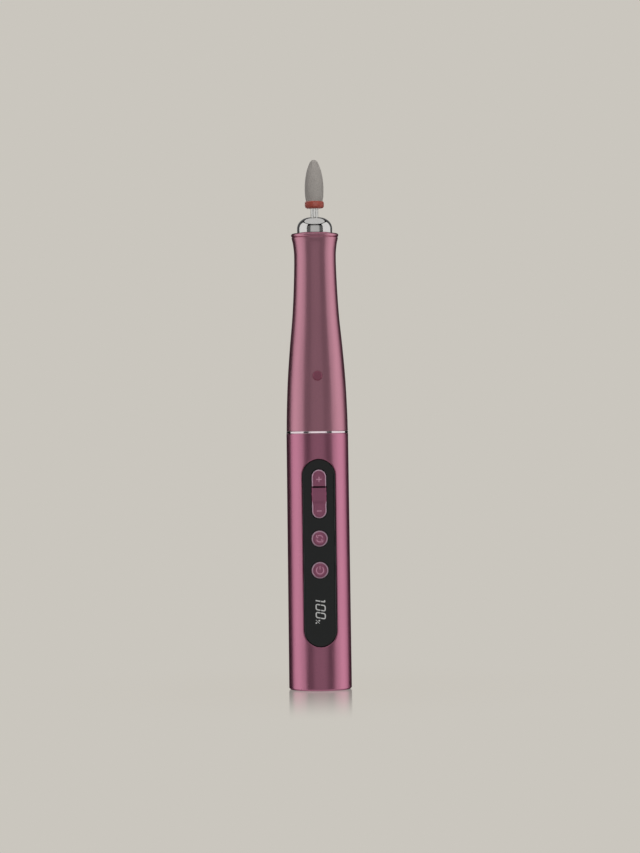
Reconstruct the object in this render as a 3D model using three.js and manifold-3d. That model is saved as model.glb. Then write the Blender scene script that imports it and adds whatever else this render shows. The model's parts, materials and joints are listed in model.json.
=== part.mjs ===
// Pen-shaped cordless electric nail grinder, in millimetres, +Z up.
// The origin is the centre of the flat tail face: the tool stands on its tail and its controls face -Y.
import * as THREE from 'three';
import { mergeVertices } from 'three/addons/utils/BufferGeometryUtils.js';
import Module from 'manifold-3d';

const wasm = await Module();
wasm.setup();

// ---- Driving dimensions ----

// Two-piece housing.
const TAIL_R = 9.97;
const JOINT_Z = 81.2;
const JOINT_R = 9.8;
const RING_HEIGHT = 0.8;
const MOUTH_Z = 144.75;
const HOUSING_BORE_R = 8.75;
const MOTOR_BORE_R = 7.8;
const CARTRIDGE_BORE_R = 5.6;
const TAIL_CHAMFER = 0.5;
const HOUSING_SIDES = 32;
const MIDDLE_SIDES = 24;
const INNER_SIDES = 16;
const SMALL_SIDES = 12;
const CORNER_STEPS = 4;

// Chrome nose.
const NOSE_R = 5.6;
const NOSE_TOP_Z = 149.9;
const NOSE_HOLE_R = 1.5;

// Control panel in the rear shell.
const SLOT_WIDTH = 10.57;
const SLOT_LOW_Z = 13.8;
const SLOT_HIGH_Z = 73.2;
const PANEL_GAP = 0.15;
const PANEL_CROWN_R = 11.9;
const PANEL_FACE_Y = -9.35;
const PANEL_THICKNESS = 1.3;
const CROWN_CENTRE_Y = PANEL_FACE_Y + PANEL_CROWN_R;
const SLOT_END_STEPS = 6;

// Speed rocker.
const ROCKER_LOW_Z = 54.5;
const ROCKER_HIGH_Z = 69.8;
const ROCKER_WIDTH = 4.5;
const ROCKER_PAD_Y = -10.05;
const ROCKER_SADDLE_Y = -9.65;
const PLUS_PAD_LENGTH = 5.2;
const MINUS_PAD_LENGTH = 5;
const ROCKER_CORNER_R = 2.2;
const ROCKER_GAP = 0.2;
const ROCKER_PIVOT_Z = (ROCKER_LOW_Z + ROCKER_HIGH_Z) / 2;
const ROCKER_PIVOT_Y = -7;
const ROCKER_FOOT_ARM = 4.9;

// Round buttons.
const DIRECTION_Z = 48.06;
const DIRECTION_R = 2.5;
const POWER_Z = 38.1;
const POWER_R = 2.575;
const BUTTON_FACE_Y = -9.8;
const BUTTON_GAP = 0.15;

// Circuit board, switches and display behind the panel.
const BOARD_FRONT_Y = -5;
const BOARD_THICKNESS = 1;
const BOARD_WIDTH = 11;
const BOARD_LOW_Z = 12;
const BOARD_HIGH_Z = 76;
const SWITCH_WIDTH = 3.4;
const SWITCH_HEIGHT = 1.2;
const PLUNGER_R = 0.7;
const PLUNGER_TIP_Y = -6.65;
const PLUNGER_TAIL_Y = -5.75;
const FOOT_TIP_Y = -6.8;
const BOARD_SCREW_X = 4.3;

// Battery and charging.
const CELL_R = 5.7;
const CELL_Y = 2.2;
const CELL_LOW_Z = 13;
const CELL_HIGH_Z = 59;
const CARRIER_R = 8.65;
const CARRIER_LOW_Z = 10;
const CARRIER_FRONT_Y = -3.95;
const USB_WIDTH = 8.94;
const USB_HEIGHT = 3.26;
const USB_WALL = 0.3;
const USB_MOUTH_Z = 0.4;
const USB_DEPTH = 7.2;

// Motor.
const MOTOR_R = 7;
const MOTOR_LOW_Z = 84;
const MOTOR_HIGH_Z = 107;
const MOTOR_SHAFT_R = 0.75;
const PLUG_Z = 99.4;
const PLUG_R = 1.5;

// Spindle, 5 x 10 x 4 mm ball bearings and collet.
const BEARING_OUTER_R = 5;
const BEARING_BORE_R = 2.5;
const BEARING_HEIGHT = 4;
const BALL_R = 0.6;
const BALL_PITCH_R = 3.75;
const BALL_COUNT = 7;
const REAR_BEARING_Z = 118;
const FRONT_BEARING_Z = 134;
const SPINDLE_R = 2.45;
const SPINDLE_TOP_Z = 147.2;
const COLLET_R = 1.75;

// Grinding bit on a 3/32 inch (2.35 mm) shank.
const SHANK_R = 1.175;
const SHANK_LOW_Z = 126;
const BAND_LOW_Z = 152.7;
const BAND_HIGH_Z = 155;
const TIP_Z = 168.2;

// ---- Shape helpers ----

const HALF_TURN = Math.PI;
const QUARTER_TURN = Math.PI / 2;
const MERGE_TOLERANCE = 1e-4;
const OVERSHOOT = 1;

/** A point of a profile: distance from the axis, and height. */
const at = (radius, height) => new THREE.Vector2(radius, height);

/** Points along an arc, both ends included, angles in degrees. */
function arc(centreX, centreY, radius, startDeg, endDeg, steps) {
  return Array.from({ length: steps + 1 }, (_, i) => {
    const angle = THREE.MathUtils.degToRad(startDeg + ((endDeg - startDeg) * i) / steps);
    return at(centreX + radius * Math.cos(angle), centreY + radius * Math.sin(angle));
  });
}

/** Turns a profile about the Z axis. A profile off the axis is closed on itself. */
function revolve(profile, sides = INNER_SIDES) {
  const points = profile[0].x === 0 ? profile : [...profile, profile[0]];
  return new THREE.LatheGeometry(points, sides).rotateX(QUARTER_TURN);
}

/** A plain tube, or a disc when the inner radius is 0. */
function tube(innerR, outerR, lowZ, highZ, sides = INNER_SIDES) {
  return revolve([at(innerR, lowZ), at(outerR, lowZ), at(outerR, highZ), at(innerR, highZ)], sides);
}

/** A cylinder along Y, from the front (low y) to the back. */
function pinY(radius, frontY, backY, x, z, sides = INNER_SIDES) {
  const pin = new THREE.CylinderGeometry(radius, radius, backY - frontY, sides);
  return pin.translate(x, (frontY + backY) / 2, z);
}

/** A box given by its corners. */
function block(low, high) {
  const size = high.map((value, k) => value - low[k]);
  const centre = high.map((value, k) => (value + low[k]) / 2);
  return new THREE.BoxGeometry(...size).translate(...centre);
}

/** Extrudes an outline drawn in x and z along Y. */
function extrudeY(outline, frontY, backY, curveSegments = CORNER_STEPS) {
  const options = { depth: backY - frontY, bevelEnabled: false, curveSegments };
  return new THREE.ExtrudeGeometry(outline, options).rotateX(QUARTER_TURN).translate(0, backY, 0);
}

/** Extrudes an outline drawn in x and y along Z. */
function extrudeZ(outline, lowZ, highZ, curveSegments = CORNER_STEPS) {
  const options = { depth: highZ - lowZ, bevelEnabled: false, curveSegments };
  return new THREE.ExtrudeGeometry(outline, options).translate(0, 0, lowZ);
}

/** Extrudes an outline drawn in y and z along X, centred on x = 0. */
function extrudeX(outline, width) {
  const turn = new THREE.Matrix4().makeBasis(
    new THREE.Vector3(0, 1, 0),
    new THREE.Vector3(0, 0, 1),
    new THREE.Vector3(1, 0, 0),
  );
  const bar = new THREE.ExtrudeGeometry(outline, { depth: width, bevelEnabled: false });
  return bar.applyMatrix4(turn).translate(-width / 2, 0, 0);
}

/** A rounded rectangle centred on (x, y). */
function roundedOutline(width, height, radius, x = 0, y = 0) {
  const [right, top] = [x + width / 2, y + height / 2];
  const [left, bottom] = [x - width / 2, y - height / 2];
  const outline = new THREE.Shape();
  outline.moveTo(right, bottom + radius);
  outline.lineTo(right, top - radius);
  outline.absarc(right - radius, top - radius, radius, 0, QUARTER_TURN);
  outline.lineTo(left + radius, top);
  outline.absarc(left + radius, top - radius, radius, QUARTER_TURN, HALF_TURN);
  outline.lineTo(left, bottom + radius);
  outline.absarc(left + radius, bottom + radius, radius, HALF_TURN, HALF_TURN * 1.5);
  outline.lineTo(right - radius, bottom);
  outline.absarc(right - radius, bottom + radius, radius, HALF_TURN * 1.5, HALF_TURN * 2);
  return outline;
}

/** Makes a boolean solid of a closed geometry, with its shared vertices merged. */
function solid(geometry) {
  const bare = geometry.clone();
  bare.deleteAttribute('normal');
  bare.deleteAttribute('uv');
  const merged = mergeVertices(bare, MERGE_TOLERANCE);
  const corners = merged.index.array;
  const triangles = [];
  for (let i = 0; i < corners.length; i += 3) {
    const [a, b, c] = corners.slice(i, i + 3);
    if (a !== b && b !== c && c !== a) triangles.push(a, b, c);
  }
  const vertProperties = new Float32Array(merged.attributes.position.array);
  const triVerts = new Uint32Array(triangles);
  return new wasm.Manifold(new wasm.Mesh({ numProp: 3, vertProperties, triVerts }));
}

/** Turns a boolean solid back into a geometry. */
function geometryOf(body) {
  const { vertProperties, triVerts } = body.getMesh();
  const geometry = new THREE.BufferGeometry();
  geometry.setAttribute('position', new THREE.Float32BufferAttribute(vertProperties, 3));
  geometry.setIndex(new THREE.Uint32BufferAttribute(triVerts, 1));
  geometry.computeVertexNormals();
  return geometry;
}

const joined = (...geometries) => geometryOf(geometries.map(solid).reduce((a, b) => a.add(b)));
const cut = (geometry, ...tools) =>
  geometryOf(tools.map(solid).reduce((a, b) => a.subtract(b), solid(geometry)));
const common = (first, second) => geometryOf(solid(first).intersect(solid(second)));

// ---- Materials ----

const finish = (color, roughness, metalness) =>
  new THREE.MeshStandardMaterial({ color, roughness, metalness });

const ANODISED = finish('#a5647c', 0.32, 1);
const ANODISED_FRONT = finish('#a46b80', 0.34, 1);
const CHROME = finish('#d8d6d4', 0.08, 1);
const STEEL = finish('#b8b8b6', 0.25, 1);
const BLACK_GLOSS = finish('#14181a', 0.08, 0);
const KEY_PINK = finish('#7d465a', 0.35, 0.6);
const PLUG_PINK = finish('#a8566f', 0.4, 0.5);
const CERAMIC = finish('#96918b', 0.75, 0);
const BAND_RED = finish('#8c4842', 0.5, 0);
const BRASS = finish('#c9a44c', 0.3, 1);
const ALUMINIUM = finish('#bfc1c4', 0.4, 1);
const BOARD_GREEN = finish('#1f5a3a', 0.5, 0);
const BLACK_PLASTIC = finish('#232325', 0.6, 0);
const WHITE_PLASTIC = finish('#d9d8d2', 0.55, 0);
const FERRITE = finish('#3c3b3d', 0.7, 0);
const COPPER = finish('#b87346', 0.35, 1);
const CELL_WRAP = finish('#3f6f9e', 0.45, 0);
const NICKEL = finish('#c4c0b6', 0.3, 1);
const WIRE_RED = finish('#b3262a', 0.5, 0);
const WIRE_BLACK = finish('#1d1d1f', 0.5, 0);

const grinder = new THREE.Group();

/** Adds one named sub-part. */
function add(name, geometry, material) {
  const mesh = new THREE.Mesh(geometry, material);
  mesh.name = name;
  grinder.add(mesh);
}

// ---- Housing ----

/** Outer line of the front shell: swell, waist and flared collar with a rounded lip. */
function frontShellOutline() {
  const swell = [
    at(9.74, JOINT_Z + RING_HEIGHT), at(9.6, 88.5), at(9.17, 98.2), at(8.38, 108.4),
    at(7.42, 118.5), at(6.84, 128.7), at(6.62, 137.3), at(6.92, 141.2), at(7.36, 143.1),
  ];
  const lip = arc(6.92, MOUTH_Z - 0.6, 0.6, -30, 90, 3);
  return [...new THREE.SplineCurve(swell).getPoints(11), ...lip];
}

function rearShell() {
  const wall = revolve([
    at(HOUSING_BORE_R, 0),
    at(TAIL_R - TAIL_CHAMFER, 0),
    at(TAIL_R - TAIL_CHAMFER * 0.3, TAIL_CHAMFER * 0.3),
    at(TAIL_R, TAIL_CHAMFER),
    at(JOINT_R, JOINT_Z),
    at(HOUSING_BORE_R, JOINT_Z),
  ], HOUSING_SIDES);
  const middleZ = (SLOT_LOW_Z + SLOT_HIGH_Z) / 2;
  const slot = roundedOutline(SLOT_WIDTH, SLOT_HIGH_Z - SLOT_LOW_Z, SLOT_WIDTH / 2 - 0.01, 0, middleZ);
  return cut(wall, extrudeY(slot, -TAIL_R - OVERSHOOT, -1, SLOT_END_STEPS));
}

function frontShell() {
  const bore = [
    at(CARTRIDGE_BORE_R, MOUTH_Z), at(CARTRIDGE_BORE_R, 109.6),
    at(MOTOR_BORE_R, 109.6), at(MOTOR_BORE_R, 88.6),
    at(HOUSING_BORE_R, 88.6), at(HOUSING_BORE_R, JOINT_Z + RING_HEIGHT),
  ];
  const wall = revolve([...frontShellOutline(), ...bore], HOUSING_SIDES);
  const plugSeat = pinY(PLUG_R + 0.04, -12, -8.45, 0, PLUG_Z);
  const screwHole = pinY(1.05, -12, -6, 0, PLUG_Z);
  return cut(wall, plugSeat, screwHole);
}

/** The plug's face follows the shell around it. */
function setScrewPlug() {
  const pin = pinY(PLUG_R, -12, -8.5, 0, PLUG_Z);
  return common(pin, tube(0, 9.1, PLUG_Z - 3, PLUG_Z + 3, HOUSING_SIDES));
}

function jointRing() {
  const [low, high] = [JOINT_Z, JOINT_Z + RING_HEIGHT];
  const bevel = 0.12;
  return revolve([
    at(HOUSING_BORE_R, low + 0.02), at(JOINT_R - bevel, low + 0.02), at(JOINT_R, low + bevel),
    at(JOINT_R, high - bevel), at(JOINT_R - bevel, high - 0.02), at(HOUSING_BORE_R, high - 0.02),
  ], HOUSING_SIDES);
}

/** Sleeve that joins both shells, relieved between its two threaded bands. */
function shellCoupler() {
  const [low, high, boreR, bandR, waistR] = [76.6, 88.2, 7.9, 8.68, 8.4];
  return revolve([
    at(boreR, low), at(bandR, low), at(bandR, 80), at(waistR, 80.3),
    at(waistR, 82.9), at(bandR, 83.2), at(bandR, high), at(boreR, high),
  ], MIDDLE_SIDES);
}

/** Cap over the spindle's end: elliptical dome with a hole for the shank. */
function noseCap() {
  const crownR = NOSE_HOLE_R + 0.1;
  const domeHeight = 3.6;
  const dome = arc(0, 0, 1, 0, 90, 6).map(({ x, y }) =>
    at(crownR + (NOSE_R - crownR) * x, NOSE_TOP_Z - domeHeight * (1 - y)));
  return revolve([
    at(4.7, 140), at(NOSE_R - 0.12, 140), at(NOSE_R - 0.12, MOUTH_Z - 0.3), at(NOSE_R, MOUTH_Z + 0.05),
    ...dome, at(NOSE_HOLE_R, NOSE_TOP_Z - 0.1),
    at(NOSE_HOLE_R, 148.6), at(4, 148.2), at(4.7, 147.2),
  ], MIDDLE_SIDES);
}

function tailCap() {
  const disc = revolve([
    at(0, 0.3), at(HOUSING_BORE_R - 0.4, 0.3), at(HOUSING_BORE_R - 0.08, 0.6),
    at(HOUSING_BORE_R - 0.08, 2.8), at(0, 2.8),
  ], HOUSING_SIDES);
  const mouth = roundedOutline(USB_WIDTH + 0.2, USB_HEIGHT + 0.2, (USB_HEIGHT + 0.2) / 2 - 0.01);
  return cut(disc, extrudeZ(mouth, -OVERSHOOT, 4));
}

add('rear_shell', rearShell(), ANODISED);
add('front_shell', frontShell(), ANODISED_FRONT);
add('set_screw_plug', setScrewPlug(), PLUG_PINK);
add('joint_ring', jointRing(), CHROME);
add('shell_coupler', shellCoupler(), ALUMINIUM);
add('nose_cap', noseCap(), CHROME);
add('tail_cap', tailCap(), BLACK_PLASTIC);

// ---- Control panel and keys ----

/** The crowned sheet between two depths below the panel's face. */
function crownedSheet(topDepth, bottomDepth, lowZ, highZ) {
  const sheet = tube(PANEL_CROWN_R - bottomDepth, PANEL_CROWN_R - topDepth, lowZ, highZ, 48);
  return sheet.translate(0, CROWN_CENTRE_Y, 0);
}

/** Outline of the rocker seen from the front; grow widens it for the panel's opening. */
function rockerOutline(grow) {
  const length = ROCKER_HIGH_Z - ROCKER_LOW_Z + 2 * grow;
  return roundedOutline(ROCKER_WIDTH + 2 * grow, length, ROCKER_CORNER_R + grow, 0, ROCKER_PIVOT_Z);
}

function controlPanel() {
  const middleZ = (SLOT_LOW_Z + SLOT_HIGH_Z) / 2;
  const width = SLOT_WIDTH - 2 * PANEL_GAP;
  const length = SLOT_HIGH_Z - SLOT_LOW_Z - 2 * PANEL_GAP;
  const outline = roundedOutline(width, length, width / 2 - 0.01, 0, middleZ);
  const blank = extrudeY(outline, -12, -5, SLOT_END_STEPS);
  const plate = common(blank, crownedSheet(0, PANEL_THICKNESS, SLOT_LOW_Z, SLOT_HIGH_Z));
  const ears = [-1, 1].map((side) => {
    const inner = ROCKER_WIDTH / 2 + 0.25;
    const x = [side * inner, side * (inner + 0.9)].sort((a, b) => a - b);
    return block([x[0], -8, ROCKER_PIVOT_Z - 1], [x[1], ROCKER_PIVOT_Y + 0.8, ROCKER_PIVOT_Z + 1]);
  });
  return cut(
    joined(plate, ...ears),
    extrudeY(rockerOutline(ROCKER_GAP), -12, -7.6),
    pinY(DIRECTION_R + BUTTON_GAP, -12, -5, 0, DIRECTION_Z),
    pinY(POWER_R + BUTTON_GAP, -12, -5, 0, POWER_Z),
    rockerTrunnion(0.58, 8),
  );
}

/** The rocker's cross pin, or the hole for it. */
function rockerTrunnion(radius, length) {
  const pin = new THREE.CylinderGeometry(radius, radius, length, INNER_SIDES);
  return pin.rotateZ(QUARTER_TURN).translate(0, ROCKER_PIVOT_Y, ROCKER_PIVOT_Z);
}

/** Two raised pads with a saddle between them, a cross pin to tilt on and a foot over each switch. */
function speedRocker() {
  const plusStart = ROCKER_HIGH_Z - PLUS_PAD_LENGTH;
  const minusEnd = ROCKER_LOW_Z + MINUS_PAD_LENGTH;
  const bevel = 0.25;
  const side = new THREE.Shape([
    at(-7.7, ROCKER_LOW_Z - 1), at(ROCKER_PAD_Y + bevel, ROCKER_LOW_Z - 1),
    at(ROCKER_PAD_Y, ROCKER_LOW_Z + bevel * 2), at(ROCKER_PAD_Y, minusEnd - bevel),
    at(ROCKER_SADDLE_Y, minusEnd), at(ROCKER_SADDLE_Y, plusStart),
    at(ROCKER_PAD_Y, plusStart + 0.05), at(ROCKER_PAD_Y, ROCKER_HIGH_Z - bevel * 2),
    at(ROCKER_PAD_Y + bevel, ROCKER_HIGH_Z + 1), at(-7.7, ROCKER_HIGH_Z + 1),
  ]);
  const cap = common(extrudeX(side, 8), extrudeY(rockerOutline(0), -12, -5));
  const hub = block([-1.6, -8, ROCKER_PIVOT_Z - 1], [1.6, ROCKER_PIVOT_Y + 0.3, ROCKER_PIVOT_Z + 1]);
  const feet = [-1, 1].map((end) =>
    pinY(0.8, -8, FOOT_TIP_Y, 0, ROCKER_PIVOT_Z + end * ROCKER_FOOT_ARM));
  return joined(cap, hub, rockerTrunnion(0.5, 6.2), ...feet);
}

/** Round key: a dished face inside a raised rim, a flange behind the panel and a foot. */
function roundButton(radius, z) {
  const flangeY = -7.4;
  const rimDepth = 0.12;
  const face = -BUTTON_FACE_Y;
  const key = revolve([
    at(0, -FOOT_TIP_Y), at(0.9, -FOOT_TIP_Y), at(0.9, 6.95), at(radius + 0.5, 6.95),
    at(radius + 0.5, -flangeY), at(radius, -flangeY), at(radius, face - 0.25),
    at(radius - 0.25, face), at(radius - 0.5, face), at(radius - 0.65, face - rimDepth),
    at(0, face - rimDepth),
  ]);
  return key.rotateX(QUARTER_TURN).translate(0, 0, z);
}

/** Push switch body with a blind hole for its plunger. */
function switchBody(z) {
  const half = SWITCH_WIDTH / 2;
  const topY = BOARD_FRONT_Y - SWITCH_HEIGHT;
  const housing = block([-half, topY, z - half], [half, BOARD_FRONT_Y - 0.02, z + half]);
  return cut(housing, pinY(PLUNGER_R + 0.1, topY - OVERSHOOT, BOARD_FRONT_Y - 0.2, 0, z, SMALL_SIDES));
}

const SWITCHES = {
  plus: ROCKER_PIVOT_Z + ROCKER_FOOT_ARM,
  minus: ROCKER_PIVOT_Z - ROCKER_FOOT_ARM,
  direction: DIRECTION_Z,
  power: POWER_Z,
};

add('control_panel', controlPanel(), BLACK_GLOSS);
add('speed_rocker', speedRocker(), KEY_PINK);
add('direction_button', roundButton(DIRECTION_R, DIRECTION_Z), KEY_PINK);
add('power_button', roundButton(POWER_R, POWER_Z), KEY_PINK);
for (const [name, z] of Object.entries(SWITCHES)) {
  const plunger = pinY(PLUNGER_R, PLUNGER_TIP_Y, PLUNGER_TAIL_Y, 0, z, SMALL_SIDES);
  add(`${name}_switch_body`, switchBody(z), BLACK_PLASTIC);
  add(`${name}_switch_plunger`, plunger, WHITE_PLASTIC);
}

// ---- Circuit board ----

const BOARD_BACK_Y = BOARD_FRONT_Y + BOARD_THICKNESS;
const BOARD_SCREWS = {
  upper: { x: BOARD_SCREW_X, z: BOARD_HIGH_Z - 1.8 },
  lower: { x: -BOARD_SCREW_X, z: BOARD_LOW_Z + 1.8 },
};

function circuitBoard() {
  const half = BOARD_WIDTH / 2;
  const board = block([-half, BOARD_FRONT_Y, BOARD_LOW_Z], [half, BOARD_BACK_Y, BOARD_HIGH_Z]);
  return cut(board, ...Object.values(BOARD_SCREWS).map(({ x, z }) => pinY(0.65, -8, 0, x, z, SMALL_SIDES)));
}

/** Three-digit segment display: a block with raised bars, the digits reading down the tool. */
function displayModule() {
  const [low, high, backY, faceY] = [20, 30, BOARD_FRONT_Y - 0.02, -7.1];
  const bars = [23, 25.9, 28.7].flatMap((z) => [
    block([-1.7, faceY - 0.2, z - 0.85], [-1.4, faceY + 0.1, z + 0.85]),
    block([1.4, faceY - 0.2, z - 0.85], [1.7, faceY + 0.1, z + 0.85]),
    block([-1.3, faceY - 0.2, z + 0.75], [-0.15, faceY + 0.1, z + 1.05]),
    block([0.15, faceY - 0.2, z + 0.75], [1.3, faceY + 0.1, z + 1.05]),
    block([-1.3, faceY - 0.2, z - 1.05], [-0.15, faceY + 0.1, z - 0.75]),
    block([0.15, faceY - 0.2, z - 1.05], [1.3, faceY + 0.1, z - 0.75]),
  ]);
  return joined(block([-2.6, faceY, low], [2.6, backY, high]), ...bars);
}

/** Flat chip with a row of legs on each long side. */
function driverChip() {
  const [low, high] = [30.9, 34.9];
  const legs = [-1, 1].flatMap((side) => [0, 1, 2, 3].map((k) => {
    const x = [side * 1.9, side * 2.9].sort((a, b) => a - b);
    const z = low + 0.35 + k;
    return block([x[0], BOARD_FRONT_Y - 0.4, z], [x[1], BOARD_FRONT_Y - 0.02, z + 0.4]);
  }));
  return joined(block([-2, BOARD_FRONT_Y - 1.2, low], [2, BOARD_FRONT_Y - 0.15, high]), ...legs);
}

/** Countersunk-style screw along Y with a cross recess. */
function boardScrew({ x, z }) {
  const headY = BOARD_FRONT_Y - 0.6;
  const screw = joined(
    pinY(1.1, headY, BOARD_FRONT_Y - 0.02, x, z, SMALL_SIDES),
    pinY(0.55, headY + 0.2, BOARD_BACK_Y + 1.5, x, z, SMALL_SIDES),
  );
  const recess = [[0.7, 0.15], [0.15, 0.7]].map(([w, h]) =>
    block([x - w, headY - OVERSHOOT, z - h], [x + w, headY + 0.3, z + h]));
  return cut(screw, ...recess);
}

add('circuit_board', circuitBoard(), BOARD_GREEN);
add('display_module', displayModule(), WHITE_PLASTIC);
add('driver_chip', driverChip(), BLACK_PLASTIC);
add('board_screw_upper', boardScrew(BOARD_SCREWS.upper), STEEL);
add('board_screw_lower', boardScrew(BOARD_SCREWS.lower), STEEL);

// ---- Battery and charging socket ----

/** Round cradle open towards the circuit board; its lips hold the cell and take the board screws. */
function batteryCarrier() {
  const body = tube(0, CARRIER_R, CARRIER_LOW_Z, BOARD_HIGH_Z, HOUSING_SIDES);
  const bore = tube(0, CELL_R + 0.15, CARRIER_LOW_Z + 1.6, BOARD_HIGH_Z + OVERSHOOT, MIDDLE_SIDES);
  const seat = bore.translate(0, CELL_Y, 0);
  const front = block([-12, -12, 0], [12, CARRIER_FRONT_Y, 90]);
  const gap = block([-3.2, -5, 0], [3.2, 0, 90]);
  const holes = Object.values(BOARD_SCREWS).map(({ x, z }) => pinY(0.65, -8, -2, x, z, SMALL_SIDES));
  return cut(body, seat, front, gap, ...holes);
}

/** Cylindrical cell with a raised positive cap at the top. */
function batteryCell() {
  const edge = 0.4;
  return revolve([
    at(0, CELL_LOW_Z), at(CELL_R - edge, CELL_LOW_Z), at(CELL_R, CELL_LOW_Z + edge),
    at(CELL_R, CELL_HIGH_Z - edge), at(CELL_R - edge, CELL_HIGH_Z), at(2, CELL_HIGH_Z),
    at(1.8, CELL_HIGH_Z + 0.8), at(0, CELL_HIGH_Z + 0.8),
  ], MIDDLE_SIDES).translate(0, CELL_Y, 0);
}

/** Strip from the cell's end to the back of the circuit board, bent where it reaches the board. */
function batteryTab(stripZ, bendZ) {
  const thickness = 0.2;
  const foldY = BOARD_BACK_Y + 0.05;
  const [low, high] = [Math.min(stripZ, bendZ), Math.max(stripZ, bendZ) + thickness];
  return joined(
    block([-1.5, foldY, stripZ], [1.5, CELL_Y + 1.5, stripZ + thickness]),
    block([-1.5, foldY, low], [1.5, foldY + thickness, high]),
  );
}

/** Charging socket shell: a flattened tube closed at its inner end. */
function usbShell() {
  const outer = roundedOutline(USB_WIDTH, USB_HEIGHT, USB_HEIGHT / 2 - 0.01);
  const [innerWidth, innerHeight] = [USB_WIDTH - 2 * USB_WALL, USB_HEIGHT - 2 * USB_WALL];
  const inner = roundedOutline(innerWidth, innerHeight, innerHeight / 2 - 0.01);
  const endZ = USB_MOUTH_Z + USB_DEPTH;
  return cut(extrudeZ(outer, USB_MOUTH_Z, endZ), extrudeZ(inner, -OVERSHOOT, endZ - USB_WALL));
}

/** Contact tongue on its plastic base inside the socket. */
function usbTongue() {
  const endZ = USB_MOUTH_Z + USB_DEPTH - USB_WALL - 0.1;
  return joined(
    block([-3.35, -0.35, USB_MOUTH_Z + 0.8], [3.35, 0.35, endZ]),
    block([-3.2, -1.1, endZ - 1.6], [3.2, 1.1, endZ]),
  );
}

/** Small board behind the socket, with its two port components. */
function chargeBoard() {
  const lowY = USB_HEIGHT / 2 + 0.05;
  return joined(
    block([-6.5, lowY, 3.2], [6.5, lowY + 0.8, 9.6]),
    block([-5, lowY + 0.7, 5], [-2, lowY + 1.7, 8]),
    block([1, lowY + 0.7, 4.6], [5, lowY + 2, 8.4]),
  );
}

add('battery_carrier', batteryCarrier(), BLACK_PLASTIC);
add('battery_cell', batteryCell(), CELL_WRAP);
add('battery_tab_positive', batteryTab(CELL_HIGH_Z + 0.85, CELL_HIGH_Z + 4), NICKEL);
add('battery_tab_negative', batteryTab(CELL_LOW_Z - 0.3, CELL_LOW_Z + 3), NICKEL);
add('usb_socket_shell', usbShell(), STEEL);
add('usb_socket_tongue', usbTongue(), BLACK_PLASTIC);
add('charge_board', chargeBoard(), BOARD_GREEN);

// ---- Motor ----

function motorSleeve() {
  const sleeve = tube(MOTOR_R + 0.08, MOTOR_BORE_R - 0.12, 83.2, 109.3, HOUSING_SIDES);
  return cut(sleeve, pinY(1.05, -12, -6, 0, PLUG_Z));
}

/** Drawn can, open at the rear, with a bearing boss at the front. */
function motorCan() {
  return revolve([
    at(MOTOR_R - 0.5, MOTOR_LOW_Z), at(MOTOR_R, MOTOR_LOW_Z), at(MOTOR_R, MOTOR_HIGH_Z - 0.5),
    at(MOTOR_R - 0.5, MOTOR_HIGH_Z), at(2.5, MOTOR_HIGH_Z), at(2.5, MOTOR_HIGH_Z + 1.2),
    at(MOTOR_SHAFT_R + 0.08, MOTOR_HIGH_Z + 1.2), at(MOTOR_SHAFT_R + 0.08, MOTOR_HIGH_Z - 0.5),
    at(MOTOR_R - 0.5, MOTOR_HIGH_Z - 0.5),
  ], MIDDLE_SIDES);
}

/** Arc magnet on one side of the can. */
function motorMagnet(side) {
  const halfAngle = THREE.MathUtils.degToRad(62);
  const middle = side > 0 ? 0 : HALF_TURN;
  const outline = new THREE.Shape();
  outline.absarc(0, 0, MOTOR_R - 0.6, middle - halfAngle, middle + halfAngle);
  outline.absarc(0, 0, 5.2, middle + halfAngle, middle - halfAngle, true);
  return extrudeZ(outline, 90.5, 104.5);
}

/** Three-pole stack: each pole is a stem with a wide shoe. */
function armature() {
  const [lowZ, highZ, shoeR] = [91.5, 103.5, 4.95];
  const poles = [0, 1, 2].flatMap((k) => {
    const turn = (k * 2 * HALF_TURN) / 3;
    const shoe = new THREE.Shape();
    shoe.absarc(0, 0, shoeR, -0.85, 0.85);
    shoe.absarc(0, 0, shoeR - 0.9, 0.85, -0.85, true);
    return [
      extrudeZ(shoe, lowZ, highZ).rotateZ(turn),
      block([0, -1.1, lowZ], [shoeR - 0.4, 1.1, highZ]).rotateZ(turn),
    ];
  });
  const winding = tube(0, 2.9, lowZ + 0.6, highZ - 0.6);
  return cut(joined(winding, ...poles), tube(0, MOTOR_SHAFT_R + 0.05, 80, 120, SMALL_SIDES));
}

/** Segmented commutator: three bars parted by slots in its outer face. */
function commutator() {
  const drum = tube(MOTOR_SHAFT_R + 0.05, 1.8, 88, 90.6);
  const slots = [0, 1, 2].map((k) =>
    block([1.5, -0.12, 87], [3, 0.12, 92]).rotateZ((k * 2 * HALF_TURN) / 3 + 0.5));
  return cut(drum, ...slots);
}

/** Plastic end cap with a shaft hole and two terminal slots. */
function motorEndCap() {
  const disc = tube(MOTOR_SHAFT_R + 0.1, MOTOR_R - 0.6, 84.3, 87, MIDDLE_SIDES);
  const slots = [-1, 1].map((side) => block([side * 4.4 - 0.5, -1, 80], [side * 4.4 + 0.5, 1, 90]));
  return cut(disc, ...slots);
}

/** Brush: a terminal strip through the end cap, bent in to a carbon pad beside the commutator. */
function motorBrush(side) {
  const across = (low, high) => (side > 0 ? [low, high] : [-high, -low]);
  const [padLow, padHigh] = across(1.95, 2.9);
  const [armLow, armHigh] = across(2.8, 4.7);
  const [stripLow, stripHigh] = across(4.3, 4.7);
  return joined(
    block([padLow, -0.8, 88.3], [padHigh, 0.8, 90.2]),
    block([armLow, -0.6, 88.6], [armHigh, 0.6, 89]),
    block([stripLow, -0.8, 82.6], [stripHigh, 0.8, 89]),
  );
}

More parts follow.
